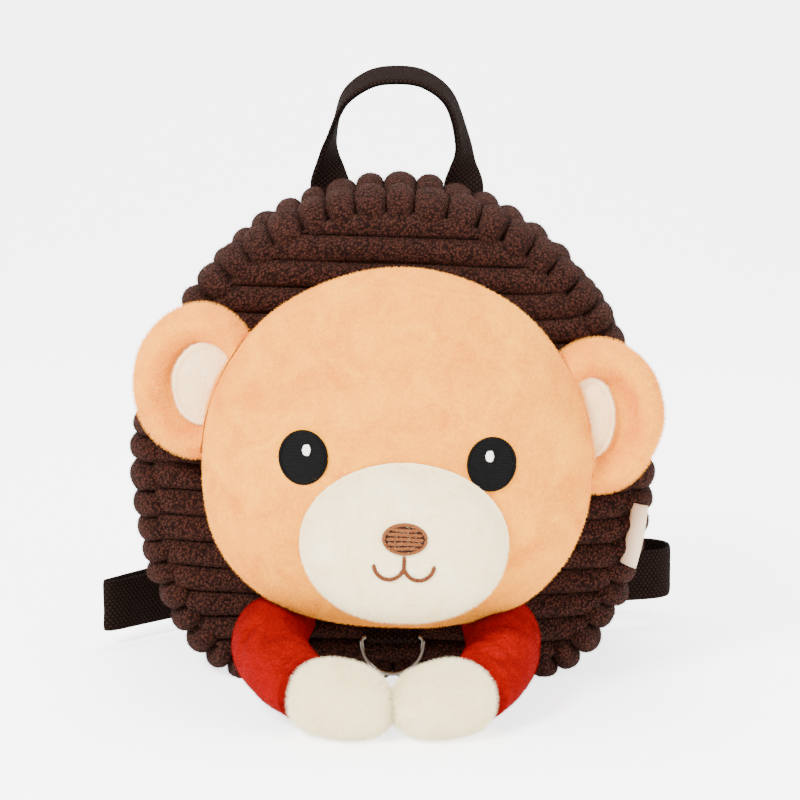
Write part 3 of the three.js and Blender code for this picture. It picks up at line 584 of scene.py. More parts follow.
def make_weave_group():
    """Plain weave on a band's own length and width."""
    tree, given, result, _ = new_group("plain_weave", "ShaderNodeTree", {
        "Vector": "Vector", "Across": "Float", "Along": "Float"}, SHADE_AND_HEIGHT)
    split = node(tree, "ShaderNodeSeparateXYZ", {0: given["Vector"]}).outputs

    def threads(value):
        """The rounded tops of threads that are one unit apart."""
        return maths(tree, "ABSOLUTE", maths(tree, "SINE", maths(tree, "MULTIPLY", value, math.pi)))

    across = maths(tree, "MULTIPLY", split["X"], given["Across"])
    along = maths(tree, "MULTIPLY", split["Y"], given["Along"])
    step = maths(tree, "MULTIPLY", maths(tree, "FLOOR", across), 0.5)
    weft = threads(maths(tree, "ADD", along, step))
    height = maths(tree, "MULTIPLY", weft, maths(tree, "POWER", threads(across), 0.5))
    total = maths(tree, "MULTIPLY_ADD", noise(tree, given["Vector"], 700.0, 3.0), 0.35, height)
    # The colour follows the threads' height plus random noise tone, so the dips between threads are painted
    # darker: painted shade.
    wire(tree, result, {"Shade": maths(tree, "MULTIPLY", total, 0.75), "Height": total})
    return tree


PILE, TUFTS, WEAVE = make_pile_group(), make_tuft_group(), make_weave_group()


def srgb(red, green, blue):
    """A linear colour from 0 to 255 display values."""
    def channel(value):
        share = value / 255
        return share / 12.92 if share <= 0.04045 else ((share + 0.055) / 1.055) ** 2.4
    return channel(red), channel(green), channel(blue), 1.0


def blank_material(name):
    made = bpy.data.materials.new(name)
    made.use_nodes = True
    tree = made.node_tree
    tree.nodes.clear()
    shader = node(tree, "ShaderNodeBsdfPrincipled")
    node(tree, "ShaderNodeOutputMaterial", {"Surface": shader.outputs[0]})
    return made, tree, shader


def own_place(tree):
    return node(tree, "ShaderNodeTexCoord").outputs["Object"]


def use_group(tree, group, **inputs):
    """Outputs of a shader group. An input's name has underscores for its spaces."""
    values = {name.replace("_", " "): value for name, value in inputs.items()}
    return node(tree, "ShaderNodeGroup", values, node_tree=group).outputs


def cover(tree, shader, colours, height, relief, roughness, specular):
    """A matt shader's colour, relief and gloss.

    Colours are a value, the colours at its low and high ends, and those ends.
    """
    value, dark, light, low, high = colours
    ramp = node(tree, "ShaderNodeValToRGB", {"Fac": value})
    for stop, place, colour in zip(ramp.color_ramp.elements, (low, high), (dark, light)):
        stop.position = place
        stop.color = colour
    depth, strength = relief
    bump = node(tree, "ShaderNodeBump", {"Strength": strength, "Distance": depth * MM, "Height": height})
    wire(tree, shader, {
        "Base Color": ramp.outputs["Color"], "Normal": bump.outputs["Normal"], "Roughness": roughness,
        "Specular IOR Level": specular,
    })


def pile_material(name, dark, light, tuft_scale, patch_scale, depth, sheen, tint):
    made, tree, shader = blank_material(name)
    pile = use_group(tree, PILE, Vector=own_place(tree), Tuft_Scale=tuft_scale, Patch_Scale=patch_scale)
    cover(tree, shader, (pile["Shade"], dark, light, 0.3, 0.7), pile["Height"], (depth, 0.8), 0.95, 0.06)
    wire(tree, shader, {"Sheen Weight": sheen, "Sheen Roughness": 0.45, "Sheen Tint": tint})
    return made


def tuft_material(name, dark, light, scale, depth, sheen, tint):
    made, tree, shader = blank_material(name)
    tufts = use_group(tree, TUFTS, Vector=own_place(tree), Scale=scale)
    # The dark end of the ramp lands in the gaps between tufts: painted shade.
    cover(tree, shader, (tufts["Shade"], dark, light, 0.25, 0.85), tufts["Height"], (depth, 1.0), 0.95, 0.05)
    wire(tree, shader, {"Sheen Weight": sheen, "Sheen Roughness": 0.4, "Sheen Tint": tint})
    return made


def weave_material(name, dark, light, across, along, depth):
    made, tree, shader = blank_material(name)
    place = node(tree, "ShaderNodeUVMap", uv_map="cloth").outputs["UV"]
    weave = use_group(tree, WEAVE, Vector=place, Across=across, Along=along)
    cover(tree, shader, (weave["Shade"], dark, light, 0.15, 0.9), weave["Height"], (depth, 0.9), 0.9, 0.03)
    return made


def thread_material(name, dark, light, roughness=0.65, sheen=0.05):
    made, tree, shader = blank_material(name)
    fibres = noise(tree, own_place(tree), 1500.0, 3.0)
    cover(tree, shader, (fibres, dark, light, 0.3, 0.7), fibres, (0.15, 0.5), roughness, 0.08)
    wire(tree, shader, {"Sheen Weight": sheen})
    return made


def plastic_material(name, dark, light):
    made, tree, shader = blank_material(name)
    grain = noise(tree, own_place(tree), 900.0, 5.0)
    cover(tree, shader, (grain, dark, light, 0.3, 0.7), grain, (0.05, 0.4), 0.55, 0.2)
    return made


def metal_material(name, colour, roughness):
    made, tree, shader = blank_material(name)
    scuffs = noise(tree, own_place(tree), 260.0, 6.0, 0.7)
    rough = node(tree, "ShaderNodeMapRange", {
        "To Min": roughness * 0.6, "To Max": roughness * 1.6, "Value": scuffs})
    wire(tree, shader, {"Roughness": rough.outputs["Result"], "Base Color": colour, "Metallic": 1.0})
    return made


WHITE_SHEEN = (1.0, 1.0, 1.0, 1.0)
# The corduroy's own brown, with its dark end painted into the gaps between tufts as painted shade.
CORDUROY = tuft_material(
    "corduroy_pile", srgb(20, 9, 7), srgb(68, 37, 29), 780, 1.1, 0.10, srgb(160, 110, 92))
TAN_PLUSH = pile_material(
    "tan_plush", srgb(212, 108, 4), srgb(250, 172, 28), 700, 46, 0.55, 0.06, srgb(255, 220, 160))
# Paler copies of the tan and cream plush for their hairs: painted rim highlight.
TAN_HAIR_PAINTED_RIM = pile_material(
    "tan_hair_painted_rim", srgb(238, 156, 48), srgb(255, 190, 80), 700, 46, 0.1, 0.1, srgb(255, 230, 190))
CREAM_PLUSH = pile_material(
    "cream_plush", srgb(242, 208, 150), srgb(255, 250, 210), 700, 60, 0.9, 0.2, WHITE_SHEEN)
CREAM_HAIR_PAINTED_RIM = pile_material(
    "cream_hair_painted_rim", srgb(255, 240, 196), srgb(255, 250, 220), 700, 60, 0.1, 0.25, WHITE_SHEEN)
EAR_PLUSH = pile_material(
    "ear_lining_plush", srgb(248, 208, 152), srgb(255, 232, 186), 900, 50, 0.4, 0.2, WHITE_SHEEN)
RED_PLUSH = pile_material(
    "red_plush", srgb(90, 0, 0), srgb(140, 0, 0), 900, 40, 0.35, 0.0, srgb(255, 60, 50))
BACK_CLOTH = pile_material(
    "back_cloth", srgb(22, 11, 8), srgb(42, 23, 17), 1400, 30, 0.25, 0.1, srgb(170, 130, 115))
WEBBING = weave_material("dark_webbing", srgb(7, 4, 3), srgb(34, 22, 18), 640, 430, 0.5)
ZIP_CLOTH = weave_material("zip_cloth", srgb(14, 8, 6), srgb(34, 20, 16), 1600, 1600, 0.15)
LABEL_RIBBON = weave_material("label_ribbon", srgb(205, 183, 146), srgb(238, 222, 194), 2600, 2600, 0.08)
BLACK_THREAD = thread_material("black_thread", srgb(1, 1, 1), srgb(9, 8, 8), 0.7, 0.0)
WHITE_THREAD = thread_material("white_thread", srgb(220, 216, 210), srgb(250, 248, 244))
NOSE_THREAD = thread_material("nose_thread", srgb(82, 42, 18), srgb(138, 82, 44))
DARK_THREAD = thread_material("dark_brown_thread", srgb(26, 12, 6), srgb(52, 26, 14))
MOUTH_THREAD = thread_material("mouth_thread", srgb(62, 28, 12), srgb(116, 62, 32))
SEAM_THREAD = thread_material("seam_thread", srgb(40, 24, 18), srgb(84, 56, 44))
BACK_STRAP = weave_material("strap_cloth", srgb(20, 11, 8), srgb(44, 27, 21), 1100, 1100, 0.25)
# Plush whose hairs take a paler copy of the cloth's colour: painted rim highlight along the silhouettes,
# where the hairs show edge-on
COATS = {TAN_PLUSH: TAN_HAIR_PAINTED_RIM, CREAM_PLUSH: CREAM_HAIR_PAINTED_RIM}
NICKEL = metal_material("nickel_plate", srgb(108, 104, 98), 0.16)
DARK_METAL = metal_material("dark_zip_metal", srgb(70, 55, 48), 0.3)
LOCK_PLASTIC = plastic_material("lock_plastic", srgb(10, 8, 7), srgb(24, 19, 17))


# Camera, floor and light

CAMERA_RISE = math.radians(9.6)
CAMERA_DISTANCE = 1150.0
CAMERA_LENS = 111.3
CAMERA_AIM = (3.6, 1.04, 129.5)


def make_camera():
    data = bpy.data.cameras.new("photo_camera")
    data.lens = CAMERA_LENS
    data.sensor_width = 36.0
    data.clip_start = 0.05
    data.clip_end = 20.0
    camera = add_object("photo_camera", data)
    back = Vector((0, -math.cos(CAMERA_RISE), math.sin(CAMERA_RISE))) * CAMERA_DISTANCE * MM
    camera.location = Vector(CAMERA_AIM) * MM + back
    camera.rotation_euler = (-back).to_track_quat("-Z", "Y").to_euler()
    bpy.context.scene.camera = camera


def camera_glow(tree, plain, seen):
    """A light strength that is higher where the camera sees it straight on."""
    path = node(tree, "ShaderNodeLightPath")
    return node(tree, "ShaderNodeMapRange", {
        "To Min": plain, "To Max": seen, "Value": path.outputs["Is Camera Ray"]}).outputs["Result"]


def make_floor():
    """A pale floor that curves up behind the bag."""
    half, start, radius, top = 2500.0, 1200.0, 700.0, 3500.0
    turn = np.linspace(0, np.pi / 2, 24)
    section = [(-half, 0.0), (start, 0.0)]
    section += [(start + radius * math.sin(a), radius * (1 - math.cos(a))) for a in turn[1:]]
    section += [(start + radius, top)]
    points = [(x, y, z - 0.2) for x in (-half, half) for y, z in section]
    count = len(section)
    faces = [(i, i + 1, count + i + 1, count + i) for i in range(count - 1)]
    mesh = bpy.data.meshes.new("studio_floor")
    mesh.from_pydata((np.array(points) * MM).tolist(), [], faces)
    shade(mesh, True)
    floor = add_object("studio_floor", mesh)
    made, tree, shader = blank_material("studio_white")
    wire(tree, shader, {
        "Base Color": (0.97, 0.97, 0.97, 1), "Emission Color": (1, 1, 1, 1), "Roughness": 0.9,
        "Emission Strength": camera_glow(tree, 0.9, 2.6),
    })
    mesh.materials.append(made)


def make_light(name, place, size, power, aim=(0, 0, 110)):
    data = bpy.data.lights.new(name, "AREA")
    data.shape = "DISK"
    data.size = size * MM
    data.energy = power
    light = add_object(name, data)
    light.location = Vector(place) * MM
    light.rotation_euler = (Vector(aim) - Vector(place)).to_track_quat("-Z", "Y").to_euler()


def make_studio():
    make_floor()
    make_light("key_left", (-750, -1000, 1200), 500, 60.0)
    make_light("fill_right", (1200, -900, 600), 900, 22.0)
    make_light("top_back", (0, 600, 1500), 900, 30.0)
    world = bpy.data.worlds.new("studio")
    world.use_nodes = True
    tree = world.node_tree
    wire(tree, tree.nodes["Background"], {"Color": (1, 1, 1, 1), "Strength": camera_glow(tree, 1.5, 4.2)})
    bpy.context.scene.world = world


# Corduroy bag

STRIP_ROWS = [
    # Shares of the strip's width from its seam, of the bulge and of the groove's depth
    (0.05, 0.00, 0.00), (-0.10, -0.34, 0.20), (-0.19, -0.30, 0.45), (-0.24, -0.06, 0.75), (-0.22, 0.28, 0.95),
    (-0.12, 0.62, 1.00), (0.05, 0.88, 1.00), (0.24, 0.99, 1.00), (0.42, 1.00, 1.00), (0.64, 0.92, 1.00),
    (0.82, 0.78, 1.00), (0.94, 0.52, 0.80), (0.99, 0.28, 0.20),
]
STRIP_LINING = [(0.98, 0.30), (0.70, 0.80), (0.30, 0.80), (0.06, 0.05)]


def gusset(side, name, seed):
    """A ring of pillowy ribs between a panel's seam and the zip."""
    rng = np.random.default_rng(seed)
    widths = 1 + rng.uniform(-0.13, 0.13, RIB_COUNT)
    from_top = np.arange(RIB_COUNT) / RIB_COUNT - 0.5
    widths *= 1 + TOP_RIB_GAIN * np.exp(-(from_top / TOP_RIB_SPREAD) ** 2)
    edges = np.concatenate([[0], np.cumsum(widths)]) / widths.sum()
    steps = (1 - np.cos(np.linspace(0, np.pi, 12)[:-1])) / 2
    places = (edges[:-1, None] + np.diff(edges)[:, None] * steps).ravel()
    lookup = np.linspace(0, 1, 2401)
    points, outward = (sample(np.vstack([rows, rows[:1]]), places, lookup) for rows in outline(2400))
    outward = unit(outward)
    wave = np.tile(rib_wave(steps, 2.0), RIB_COUNT)
    swell = np.repeat(rng.uniform(-1.0, 0.4, RIB_COUNT), len(steps))
    fade = np.clip((np.abs(places - 0.5) - ZIP_SHARE / 2 + 1 / RIB_COUNT) / (2 / RIB_COUNT), 0, 1)
    fade = fade * fade * (3 - 2 * fade)
    half_gap = ZIP_GAP / 2 * (1 - fade) + CLEARANCE / 2 * fade
    columns = []

    def add_row(share, out, floor):
        x = points[:, 0] + outward[:, 0] * out
        z = np.maximum(points[:, 1] + outward[:, 1] * out, floor)
        columns.append(in_bag(x, side * (HALF_DEPTH - share * (HALF_DEPTH - half_gap)), z))

    for share, bulge, puff in smooth_rows(STRIP_ROWS, 29):
        settled = share * wave + max(share, 0.03) * (1 - wave)
        add_row(settled, bulge * GUSSET_BULGE + puff * (swell * wave - GROOVE_DEPTH * (1 - wave)), 0.0)
    for share, bulge in STRIP_LINING:
        add_row(share, bulge * GUSSET_BULGE - GROOVE_DEPTH - 1.2, CLOTH_WALL)
    return skin(name, np.stack(columns, axis=1), CORDUROY, (9.0, 0.6, seed), loop=True)


def front_panel():
    """The crowned panel with level wales, which are pinched in at the seam."""
    steps = (1 - np.cos(np.linspace(0, np.pi, 13)[:-1])) / 2
    pitch = (BAG_HEIGHT - SEAM_LIFT) / WALE_COUNT
    columns = 150
    turn = np.linspace(-np.pi / 2, np.pi / 2, columns)
    shares = np.sin(turn) * 0.35 + np.linspace(-1, 1, columns) * 0.65
    lining = slice(None, None, -6)
    rings = []
    for wale in range(WALE_COUNT):
        for step in steps:
            level = SEAM_LIFT + (wale + step) * pitch
            half = max(float(half_width(level)), 1.0)
            x = shares * half
            edge = np.sqrt(np.clip(1 - (1 - np.clip((half - np.abs(x)) / 9, 0, 1)) ** 2, 0, 1))
            drift = lumps(np.stack([x, x * 0 + level, x * 0], axis=1), 55, 3) * 2.2
            slope = -0.035 * x * np.clip((level - 150) / 60, 0, 1)
            calm = min((level - SEAM_LIFT) / 12, (BAG_HEIGHT - level) / 12, 1)
            z = np.clip(level + (drift + slope) * edge * calm, 0, BAG_HEIGHT)
            x = x * np.minimum(1.0, np.maximum(half_width(z), 1.0) / half)
            wave = rib_wave(step, 2.0)
            plump = 0.6 * lumps(np.stack([x, x * 0 + wale * 40.0, x * 0], axis=1), 30, 5)
            relief = (WALE_RELIEF - 0.6 + plump * wave) * edge - GROOVE_DEPTH * (1 - wave) * edge
            outer = in_front(x, CLEARANCE + CLOTH_WALL + crown(x, z) + relief, z)
            inner = in_front(x[lining], CLEARANCE + crown(x[lining], z[lining]) * 0.98, z[lining])
            inner[:, 1] = np.maximum(inner[:, 1], outer[lining][:, 1] + 0.8)
            rings.append(np.vstack([outer, inner]))
    return skin("corduroy_front", rings, CORDUROY, (9.0, 0.4, 21))


def back_panel():
    points, _ = outline(160)
    rows = [(1.0, -BACK_PADDING), (1.0, -BACK_PADDING * 0.45), (0.985, -0.6)]
    rows += [(size, 0.0) for size in (0.95, 0.7, 0.4, 0.1)]
    rings = []
    for size, back in profile(rows, 26):
        x = points[:, 0] * size
        z = WAIST_HEIGHT + (points[:, 1] - WAIST_HEIGHT) * size
        rings.append(behind(x, min(back, 0.0), z))
    return skin("padded_back", rings, BACK_CLOTH)


# Plush bear

def oval_radius(angle, across, up, down, up_power, down_power):
    high = np.sin(angle) > 0
    height = np.where(high, up, down)
    power = np.where(high, up_power, down_power)
    total = (np.abs(np.cos(angle)) / across) ** power + (np.abs(np.sin(angle)) / height) ** power
    return total ** (-1 / power)


HEAD_OVAL = (HEAD_WIDTH / 2, HEAD_HEIGHT * 0.53, HEAD_HEIGHT * 0.47, 2.0, 2.5)
HEAD_ROWS = [
    # size: share of the outline; depth: share of the head's depth
    (0.00, 0.00), (0.40, 0.00), (0.84, 0.00), (0.95, 0.12), (1.00, 0.32), (0.98, 0.49), (0.92, 0.64),
    (0.82, 0.77), (0.69, 0.87), (0.52, 0.95), (0.30, 0.99), (0.00, 1.00),
]
HEAD_CURVE = profile(HEAD_ROWS, 90)
WIDEST = int(np.argmax(HEAD_CURVE[:, 0]))


def front_share(curve, oval, x, z):
    """How deep a stuffed piece's front is at a place, as its table says it."""
    share = np.hypot(x, z) / oval_radius(np.arctan2(z, x), *oval)
    front = curve[np.argmax(curve[:, 0]):][::-1]
    return np.interp(share, front[:, 0], front[:, 1])


def head_front(x, z):
    """How far forward the head's front is, from its own across and up."""
    return CREST + HEAD_DEPTH * front_share(HEAD_CURVE, HEAD_OVAL, x, z)


def head_size_at(forward):
    """The head's share of its outline at a distance in front of the seam."""
    share = (forward - CREST) / HEAD_DEPTH
    back = HEAD_CURVE[: WIDEST + 1]
    front = HEAD_CURVE[WIDEST:]
    behind_widest = np.interp(share, back[:, 1], back[:, 0])
    ahead = np.interp(share, front[:, 1], front[:, 0])
    return np.where(share < HEAD_CURVE[WIDEST, 1], behind_widest, ahead)


def clear_of_panel(x, forward, z):
    return np.maximum(forward, CREST + crown(x, z) + CLEARANCE)


def clear_of_head(x, forward, z):
    """Points inside the head are moved out to its skin, in the plane of the face."""
    own_x, own_z = from_head(x, z)
    angle = np.arctan2(own_z, own_x)
    reach = oval_radius(angle, *HEAD_OVAL) * head_size_at(forward) + CLEARANCE
    distance = np.hypot(own_x, own_z)
    inside = (distance < reach) & (forward < CREST + HEAD_DEPTH)
    share = np.where(inside, reach / np.maximum(distance, 1e-6), 1.0)
    return on_head(own_x * share, own_z * share)


def plush_rings(curve, oval, base, reach, centre, sides):
    """Rings of a stuffed piece as across, forward and up, before it is seated."""
    angle = circle(sides)
    radius = oval_radius(angle, *oval)
    size, depth = curve[:, 0][:, None], curve[:, 1][:, None]
    x, z = on_head(centre[0] + radius * np.cos(angle) * size, centre[1] + radius * np.sin(angle) * size)
    forward = np.broadcast_to(base + depth * reach, x.shape)
    return x, forward, z


def head():
    x, forward, z = plush_rings(HEAD_CURVE, HEAD_OVAL, CREST, HEAD_DEPTH, (0, 0), 160)
    forward = clear_of_panel(x, forward, z)
    return skin("plush_head", in_front(x, forward, z)[1:-1], TAN_PLUSH, (42.0, 0.9, 31), (14.0, 0.35, 32))


MUZZLE_CENTRE = (HEAD_WIDTH * 0.025, -HEAD_HEIGHT * 0.18)
MUZZLE_OVAL = (MUZZLE_WIDTH / 2, MUZZLE_HEIGHT / 2, MUZZLE_HEIGHT / 2, 2.0, 2.2)
MUZZLE_ROWS = [
    (0.00, 0.00), (0.60, 0.00), (0.97, 0.00), (1.00, 0.30), (0.96, 0.52), (0.86, 0.72), (0.70, 0.86),
    (0.48, 0.96), (0.20, 1.00), (0.00, 1.00),
]
MUZZLE_CURVE = profile(MUZZLE_ROWS, 70)
MUZZLE_SINK = CREST + HEAD_DEPTH * 0.72
MUZZLE_REACH = HEAD_DEPTH * 0.28 + MUZZLE_DEPTH * 0.6


def muzzle_front(x, z):
    """How far forward the muzzle's front is, from the head's own across and up."""
    share = front_share(MUZZLE_CURVE, MUZZLE_OVAL, x - MUZZLE_CENTRE[0], z - MUZZLE_CENTRE[1])
    return MUZZLE_SINK + MUZZLE_REACH * share


def muzzle():
    x, forward, z = plush_rings(MUZZLE_CURVE, MUZZLE_OVAL, MUZZLE_SINK, MUZZLE_REACH, MUZZLE_CENTRE, 128)
    forward = np.maximum(forward, head_front(*from_head(x, z)) + 1.3)
    return skin("plush_muzzle", in_front(x, forward, z)[1:-1], CREAM_PLUSH, (22.0, 0.4, 41))


EARS = {
    # across, up: shares of the head's size; lining across and width: shares of the ear's
    "left": dict(across=-0.518, up=0.187, lining_across=0.02, lining_width=0.50),
    "right": dict(across=0.516, up=0.128, lining_across=-0.03, lining_width=0.42),
}
EAR_ROWS = [
    (0.00, 0.00), (0.55, 0.00), (0.86, 0.04), (1.00, 0.42), (0.93, 0.78), (0.80, 1.00), (0.66, 0.94),
    (0.55, 0.76), (0.44, 0.66), (0.20, 0.64), (0.00, 0.64),
]


def ear(name, seed):
    spot = EARS[name]
    oval = (EAR_WIDTH / 2, EAR_HEIGHT / 2, EAR_HEIGHT / 2, 2.0, 2.0)
    centre = (spot["across"] * HEAD_WIDTH, spot["up"] * HEAD_HEIGHT)
    x, forward, z = plush_rings(profile(EAR_ROWS, 70), oval, CREST + CLEARANCE, EAR_DEPTH, centre, 110)
    x, z = clear_of_head(x, forward, z)
    return skin("plush_ear_" + name, in_front(x, forward, z)[1:-1], TAN_PLUSH, (18.0, 0.8, seed))


def ear_lining(name, seed):
    """The pale patch in the ear's dish, with a raised piped edge."""
    spot = EARS[name]
    width = EAR_WIDTH * spot["lining_width"] / 2
    height = EAR_HEIGHT * 0.27
    oval = (width, height, height, 2.0, 2.0)
    centre = ((spot["across"] + spot["lining_across"]) * HEAD_WIDTH, spot["up"] * HEAD_HEIGHT)
    rows = [(0.0, 0.0), (0.9, 0.0), (1.0, 1.5), (0.97, 3.0), (0.88, 2.6), (0.80, 2.2), (0.4, 3.2), (0.0, 3.6)]
    x, forward, z = plush_rings(profile(rows, 40), oval, CREST + EAR_DEPTH * 0.70, 1.0, centre, 80)
    x, z = clear_of_head(x, forward, z)
    return skin("ear_patch_" + name, in_front(x, forward, z)[1:-1], EAR_PLUSH, (9.0, 0.4, seed))


# Embroidery

def stitched_oval(name, centre, width, height, surface, lift, material, upright=False):
    """An oval of satin stitches: rows of threads that follow the cloth below."""
    long_side, short_side = (height, width) if upright else (width, height)
    rows = int(short_side / THREAD_PITCH) * 4
    fray = np.random.default_rng(7).uniform(-0.4, 0.4, rows // 4 + 2)
    run = np.linspace(-1, 1, 40)
    side = np.sqrt(np.clip(1 - run ** 8, 0, 1))
    rings = []
    for row in range(rows + 1):
        share = -1 + 2 * row / rows
        half = math.sqrt(max(1 - share ** 2, 0.0))
        thread = abs(math.sin(math.pi * row / 4))
        ragged = fray[row // 4] * (1 if half > 0.05 else 0)
        along = run * (long_side / 2 * half + ragged * thread + 0.05)
        across = np.full_like(along, share * short_side / 2)
        x = centre[0] + (across if upright else along)
        z = centre[1] + (along if upright else across)
        rim = min(half * 3.0, 1.0)
        top = surface(x, z) + 0.25 + (lift - 0.25) * side * (0.55 + 0.45 * rim) * (0.68 + 0.32 * thread)
        bottom = surface(x[::-1], z[::-1]) + 0.1
        wide_x, wide_z = on_head(np.concatenate([x, x[::-1]]), np.concatenate([z, z[::-1]]))
        rings.append(in_front(wide_x, np.concatenate([top, bottom]), wide_z))
    return skin(name, rings, material)


def satin_stroke(name, path, stroke, surface, lift, material):
    """A line of slanted satin stitches along a path in the face's plane."""
    fine = even_rows(path, max(int(distances(np.array(path))[-1] / STROKE_STEP), 12))
    along = unit(np.gradient(fine, axis=0))
    angle = circle(10)
    rings = []
    for i, (x, z) in enumerate(fine):
        thread = abs(math.sin(math.pi * i * STROKE_STEP / THREAD_PITCH))
        ends = min(i, len(fine) - 1 - i) * STROKE_STEP
        out = np.cos(angle) * stroke / 2 * min(1.0, 0.5 + ends / stroke) * (0.84 + 0.16 * thread)
        px, pz = x + along[i][1] * out, z - along[i][0] * out
        up = np.maximum(np.sin(angle), 0.0) * lift * (0.8 + 0.2 * thread)
        wide_x, wide_z = on_head(px, pz)
        rings.append(in_front(wide_x, surface(px, pz) + 0.12 + up, wide_z))
    return skin(name, rings, material)


NOSE_CENTRE = (MUZZLE_CENTRE[0], MUZZLE_CENTRE[1] + NOSE_ABOVE)
# Each eye's across and up as shares of the head's size, and its glint's across as a share of its width
EYES = {"left": (-0.232, 0.042, 0.06), "right": (0.234, 0.042, -0.05)}


def oval_path(centre, width, height, count=48):
    angle = np.linspace(0, 2 * np.pi, count)
    return [(centre[0] + width / 2 * math.cos(a), centre[1] + height / 2 * math.sin(a)) for a in angle]


def eye(name):
    across, up, glint = EYES[name]
    centre = (across * HEAD_WIDTH, up * HEAD_HEIGHT)
    fill = stitched_oval(
        "eye_fill", centre, EYE_WIDTH - 1.0, EYE_HEIGHT - 1.0, head_front, EYE_LIFT, BLACK_THREAD)
    rim_path = oval_path(centre, EYE_WIDTH - 1.4, EYE_HEIGHT - 1.4)
    rim = satin_stroke("eye_rim", rim_path, 1.5, head_front, EYE_LIFT, BLACK_THREAD)
    black = join("stitched_eye_" + name, [fill, rim])
    spot = (centre[0] + glint * EYE_WIDTH, centre[1] + EYE_HEIGHT * 0.15)

    def on_black(x, z):
        return head_front(x, z) + GLINT_FOOT

    white = stitched_oval(
        "stitched_glint_" + name, spot, GLINT_WIDTH, GLINT_HEIGHT, on_black, GLINT_LIFT, WHITE_THREAD,
        upright=True)
    return black, white


def nose():
    """A rim and rows of pale thread over a dark base."""
    base = stitched_oval(
        "nose_base", NOSE_CENTRE, NOSE_WIDTH - 1.0, NOSE_HEIGHT - 1.0, muzzle_front, NOSE_BASE_LIFT,
        DARK_THREAD)
    path = oval_path(NOSE_CENTRE, NOSE_WIDTH - 1.6, NOSE_HEIGHT - 1.6)
    parts = [base, satin_stroke("nose_rim", path, 1.6, muzzle_front, NOSE_RIM_LIFT, NOSE_THREAD)]
    for row in range(NOSE_ROWS):
        share = (row + 0.5) / NOSE_ROWS * 2 - 1
        z = NOSE_CENTRE[1] + share * (NOSE_HEIGHT / 2 - 2.1)
        half = (NOSE_WIDTH / 2 - 2.0) * math.sqrt(1 - (share * 0.86) ** 2)
        run = [(NOSE_CENTRE[0] + half * s, z + 0.15 * math.sin(3 * s + row)) for s in (-1, -0.5, 0, 0.5, 1)]
        parts.append(satin_stroke("nose_row", run, 1.7, muzzle_front, NOSE_ROW_LIFT, NOSE_THREAD))
    return join("stitched_nose", parts)


def mouth():
    top = NOSE_CENTRE[1] - NOSE_HEIGHT / 2
    level = top - MOUTH_STEM
    radius = MOUTH_WIDTH / 4
    x = NOSE_CENTRE[0]
    stem = [(x, top - 0.3), (x, level - 1.0), (x, level - radius * 0.55)]
    parts = [satin_stroke("mouth_stem", stem, MOUTH_STROKE, muzzle_front, MOUTH_LIFT, MOUTH_THREAD)]
    for side in (-1, 1):
        turn = np.linspace(math.pi * 0.92, 0, 14)
        arc = [(x + side * (radius + radius * math.cos(a)), level - radius * math.sin(a)) for a in turn]
        parts.append(satin_stroke("mouth_arc", arc, MOUTH_STROKE, muzzle_front, MOUTH_LIFT, MOUTH_THREAD))
    return join("stitched_mouth", parts)


# Arms

SLEEVE_ROWS = [
    # across: share of the head's width; forward: share of the reach; up and size: shares of the radius
    (0.276, 0.09, 2.10, 0.90), (0.299, 0.20, 2.00, 1.00), (0.314, 0.36, 1.84, 1.04),
    (0.299, 0.54, 1.64, 1.02), (0.262, 0.67, 1.42, 1.00), (0.214, 0.77, 1.16, 0.94),
]
PAW_ROWS = [
    # along: share of the paw's length; wide, high: shares of its width and height
    (0.00, 0.74, 0.74), (0.12, 0.90, 0.92), (0.30, 1.00, 1.00), (0.50, 1.00, 0.98), (0.70, 0.90, 0.88),
    (0.83, 0.73, 0.71), (0.93, 0.49, 0.48), (0.98, 0.27, 0.26), (1.00, 0.00, 0.00),
]
SLEEVE_FOLDS = [
    # along the sleeve, width, depth in millimetres, angle round it in degrees, slant
    (0.10, 0.035, 2.2, 70, 0.10), (0.30, 0.040, 1.4, 120, -0.12), (0.52, 0.035, 1.5, 60, 0.08),
    (0.74, 0.040, 1.7, 100, -0.08), (0.93, 0.030, 1.2, 80, 0.02),
]


def sleeve_centres(side, count):
    rows = even_rows(SLEEVE_ROWS, count)
    cuff = SLEEVE_ROWS[-1][0]
    x = side * (cuff + (rows[:, 0] - cuff) * ARM_SPREAD[side]) * HEAD_WIDTH
    return x, rows[:, 1] * ARM_REACH, rows[:, 2] * SLEEVE_RADIUS * 0.93, rows[:, 3]


def limb(x, forward, z, wide, high, sides, dent):
    """Rings of a limb that lies on the floor."""
    aim_x, aim_forward = np.gradient(x), np.gradient(forward)
    length = np.hypot(aim_x, aim_forward)
    aim_x, aim_forward = (aim_x / length)[:, None], (aim_forward / length)[:, None]
    angle = circle(sides)[None, :]
    shrink = dent(np.linspace(0, 1, len(x))[:, None], angle)
    sideways = (wide[:, None] - shrink) * np.cos(angle)
    up = np.maximum(z[:, None] + (high[:, None] - shrink) * np.sin(angle), 0.0)
    return x[:, None] + sideways * aim_forward, forward[:, None] - sideways * aim_x, up


def sleeve(side, name, seed):
    x, forward, z, size = sleeve_centres(side, 90)

    def folds(along, angle):
        total = np.zeros(np.broadcast(along, angle).shape)
        for place, width, depth, around, slant in SLEEVE_FOLDS:
            turn = angle - math.radians(around if side > 0 else 180 - around)
            turn = np.arctan2(np.sin(turn), np.cos(turn))
            line = along - place - slant * turn
            total += depth * np.exp(-(line / width) ** 2) * np.exp(-(turn / 1.1) ** 2)
        return total

    x, forward, z = limb(x, forward, z, SLEEVE_RADIUS * size, SLEEVE_RADIUS * 0.93 * size, 96, folds)
    x, z = clear_of_head(x, forward, z)
    z = np.maximum(z, 0.0)
    forward = clear_of_panel(x, forward, z)
    return skin(name, in_front(x, forward, z), RED_PLUSH, (16.0, 0.5, seed))


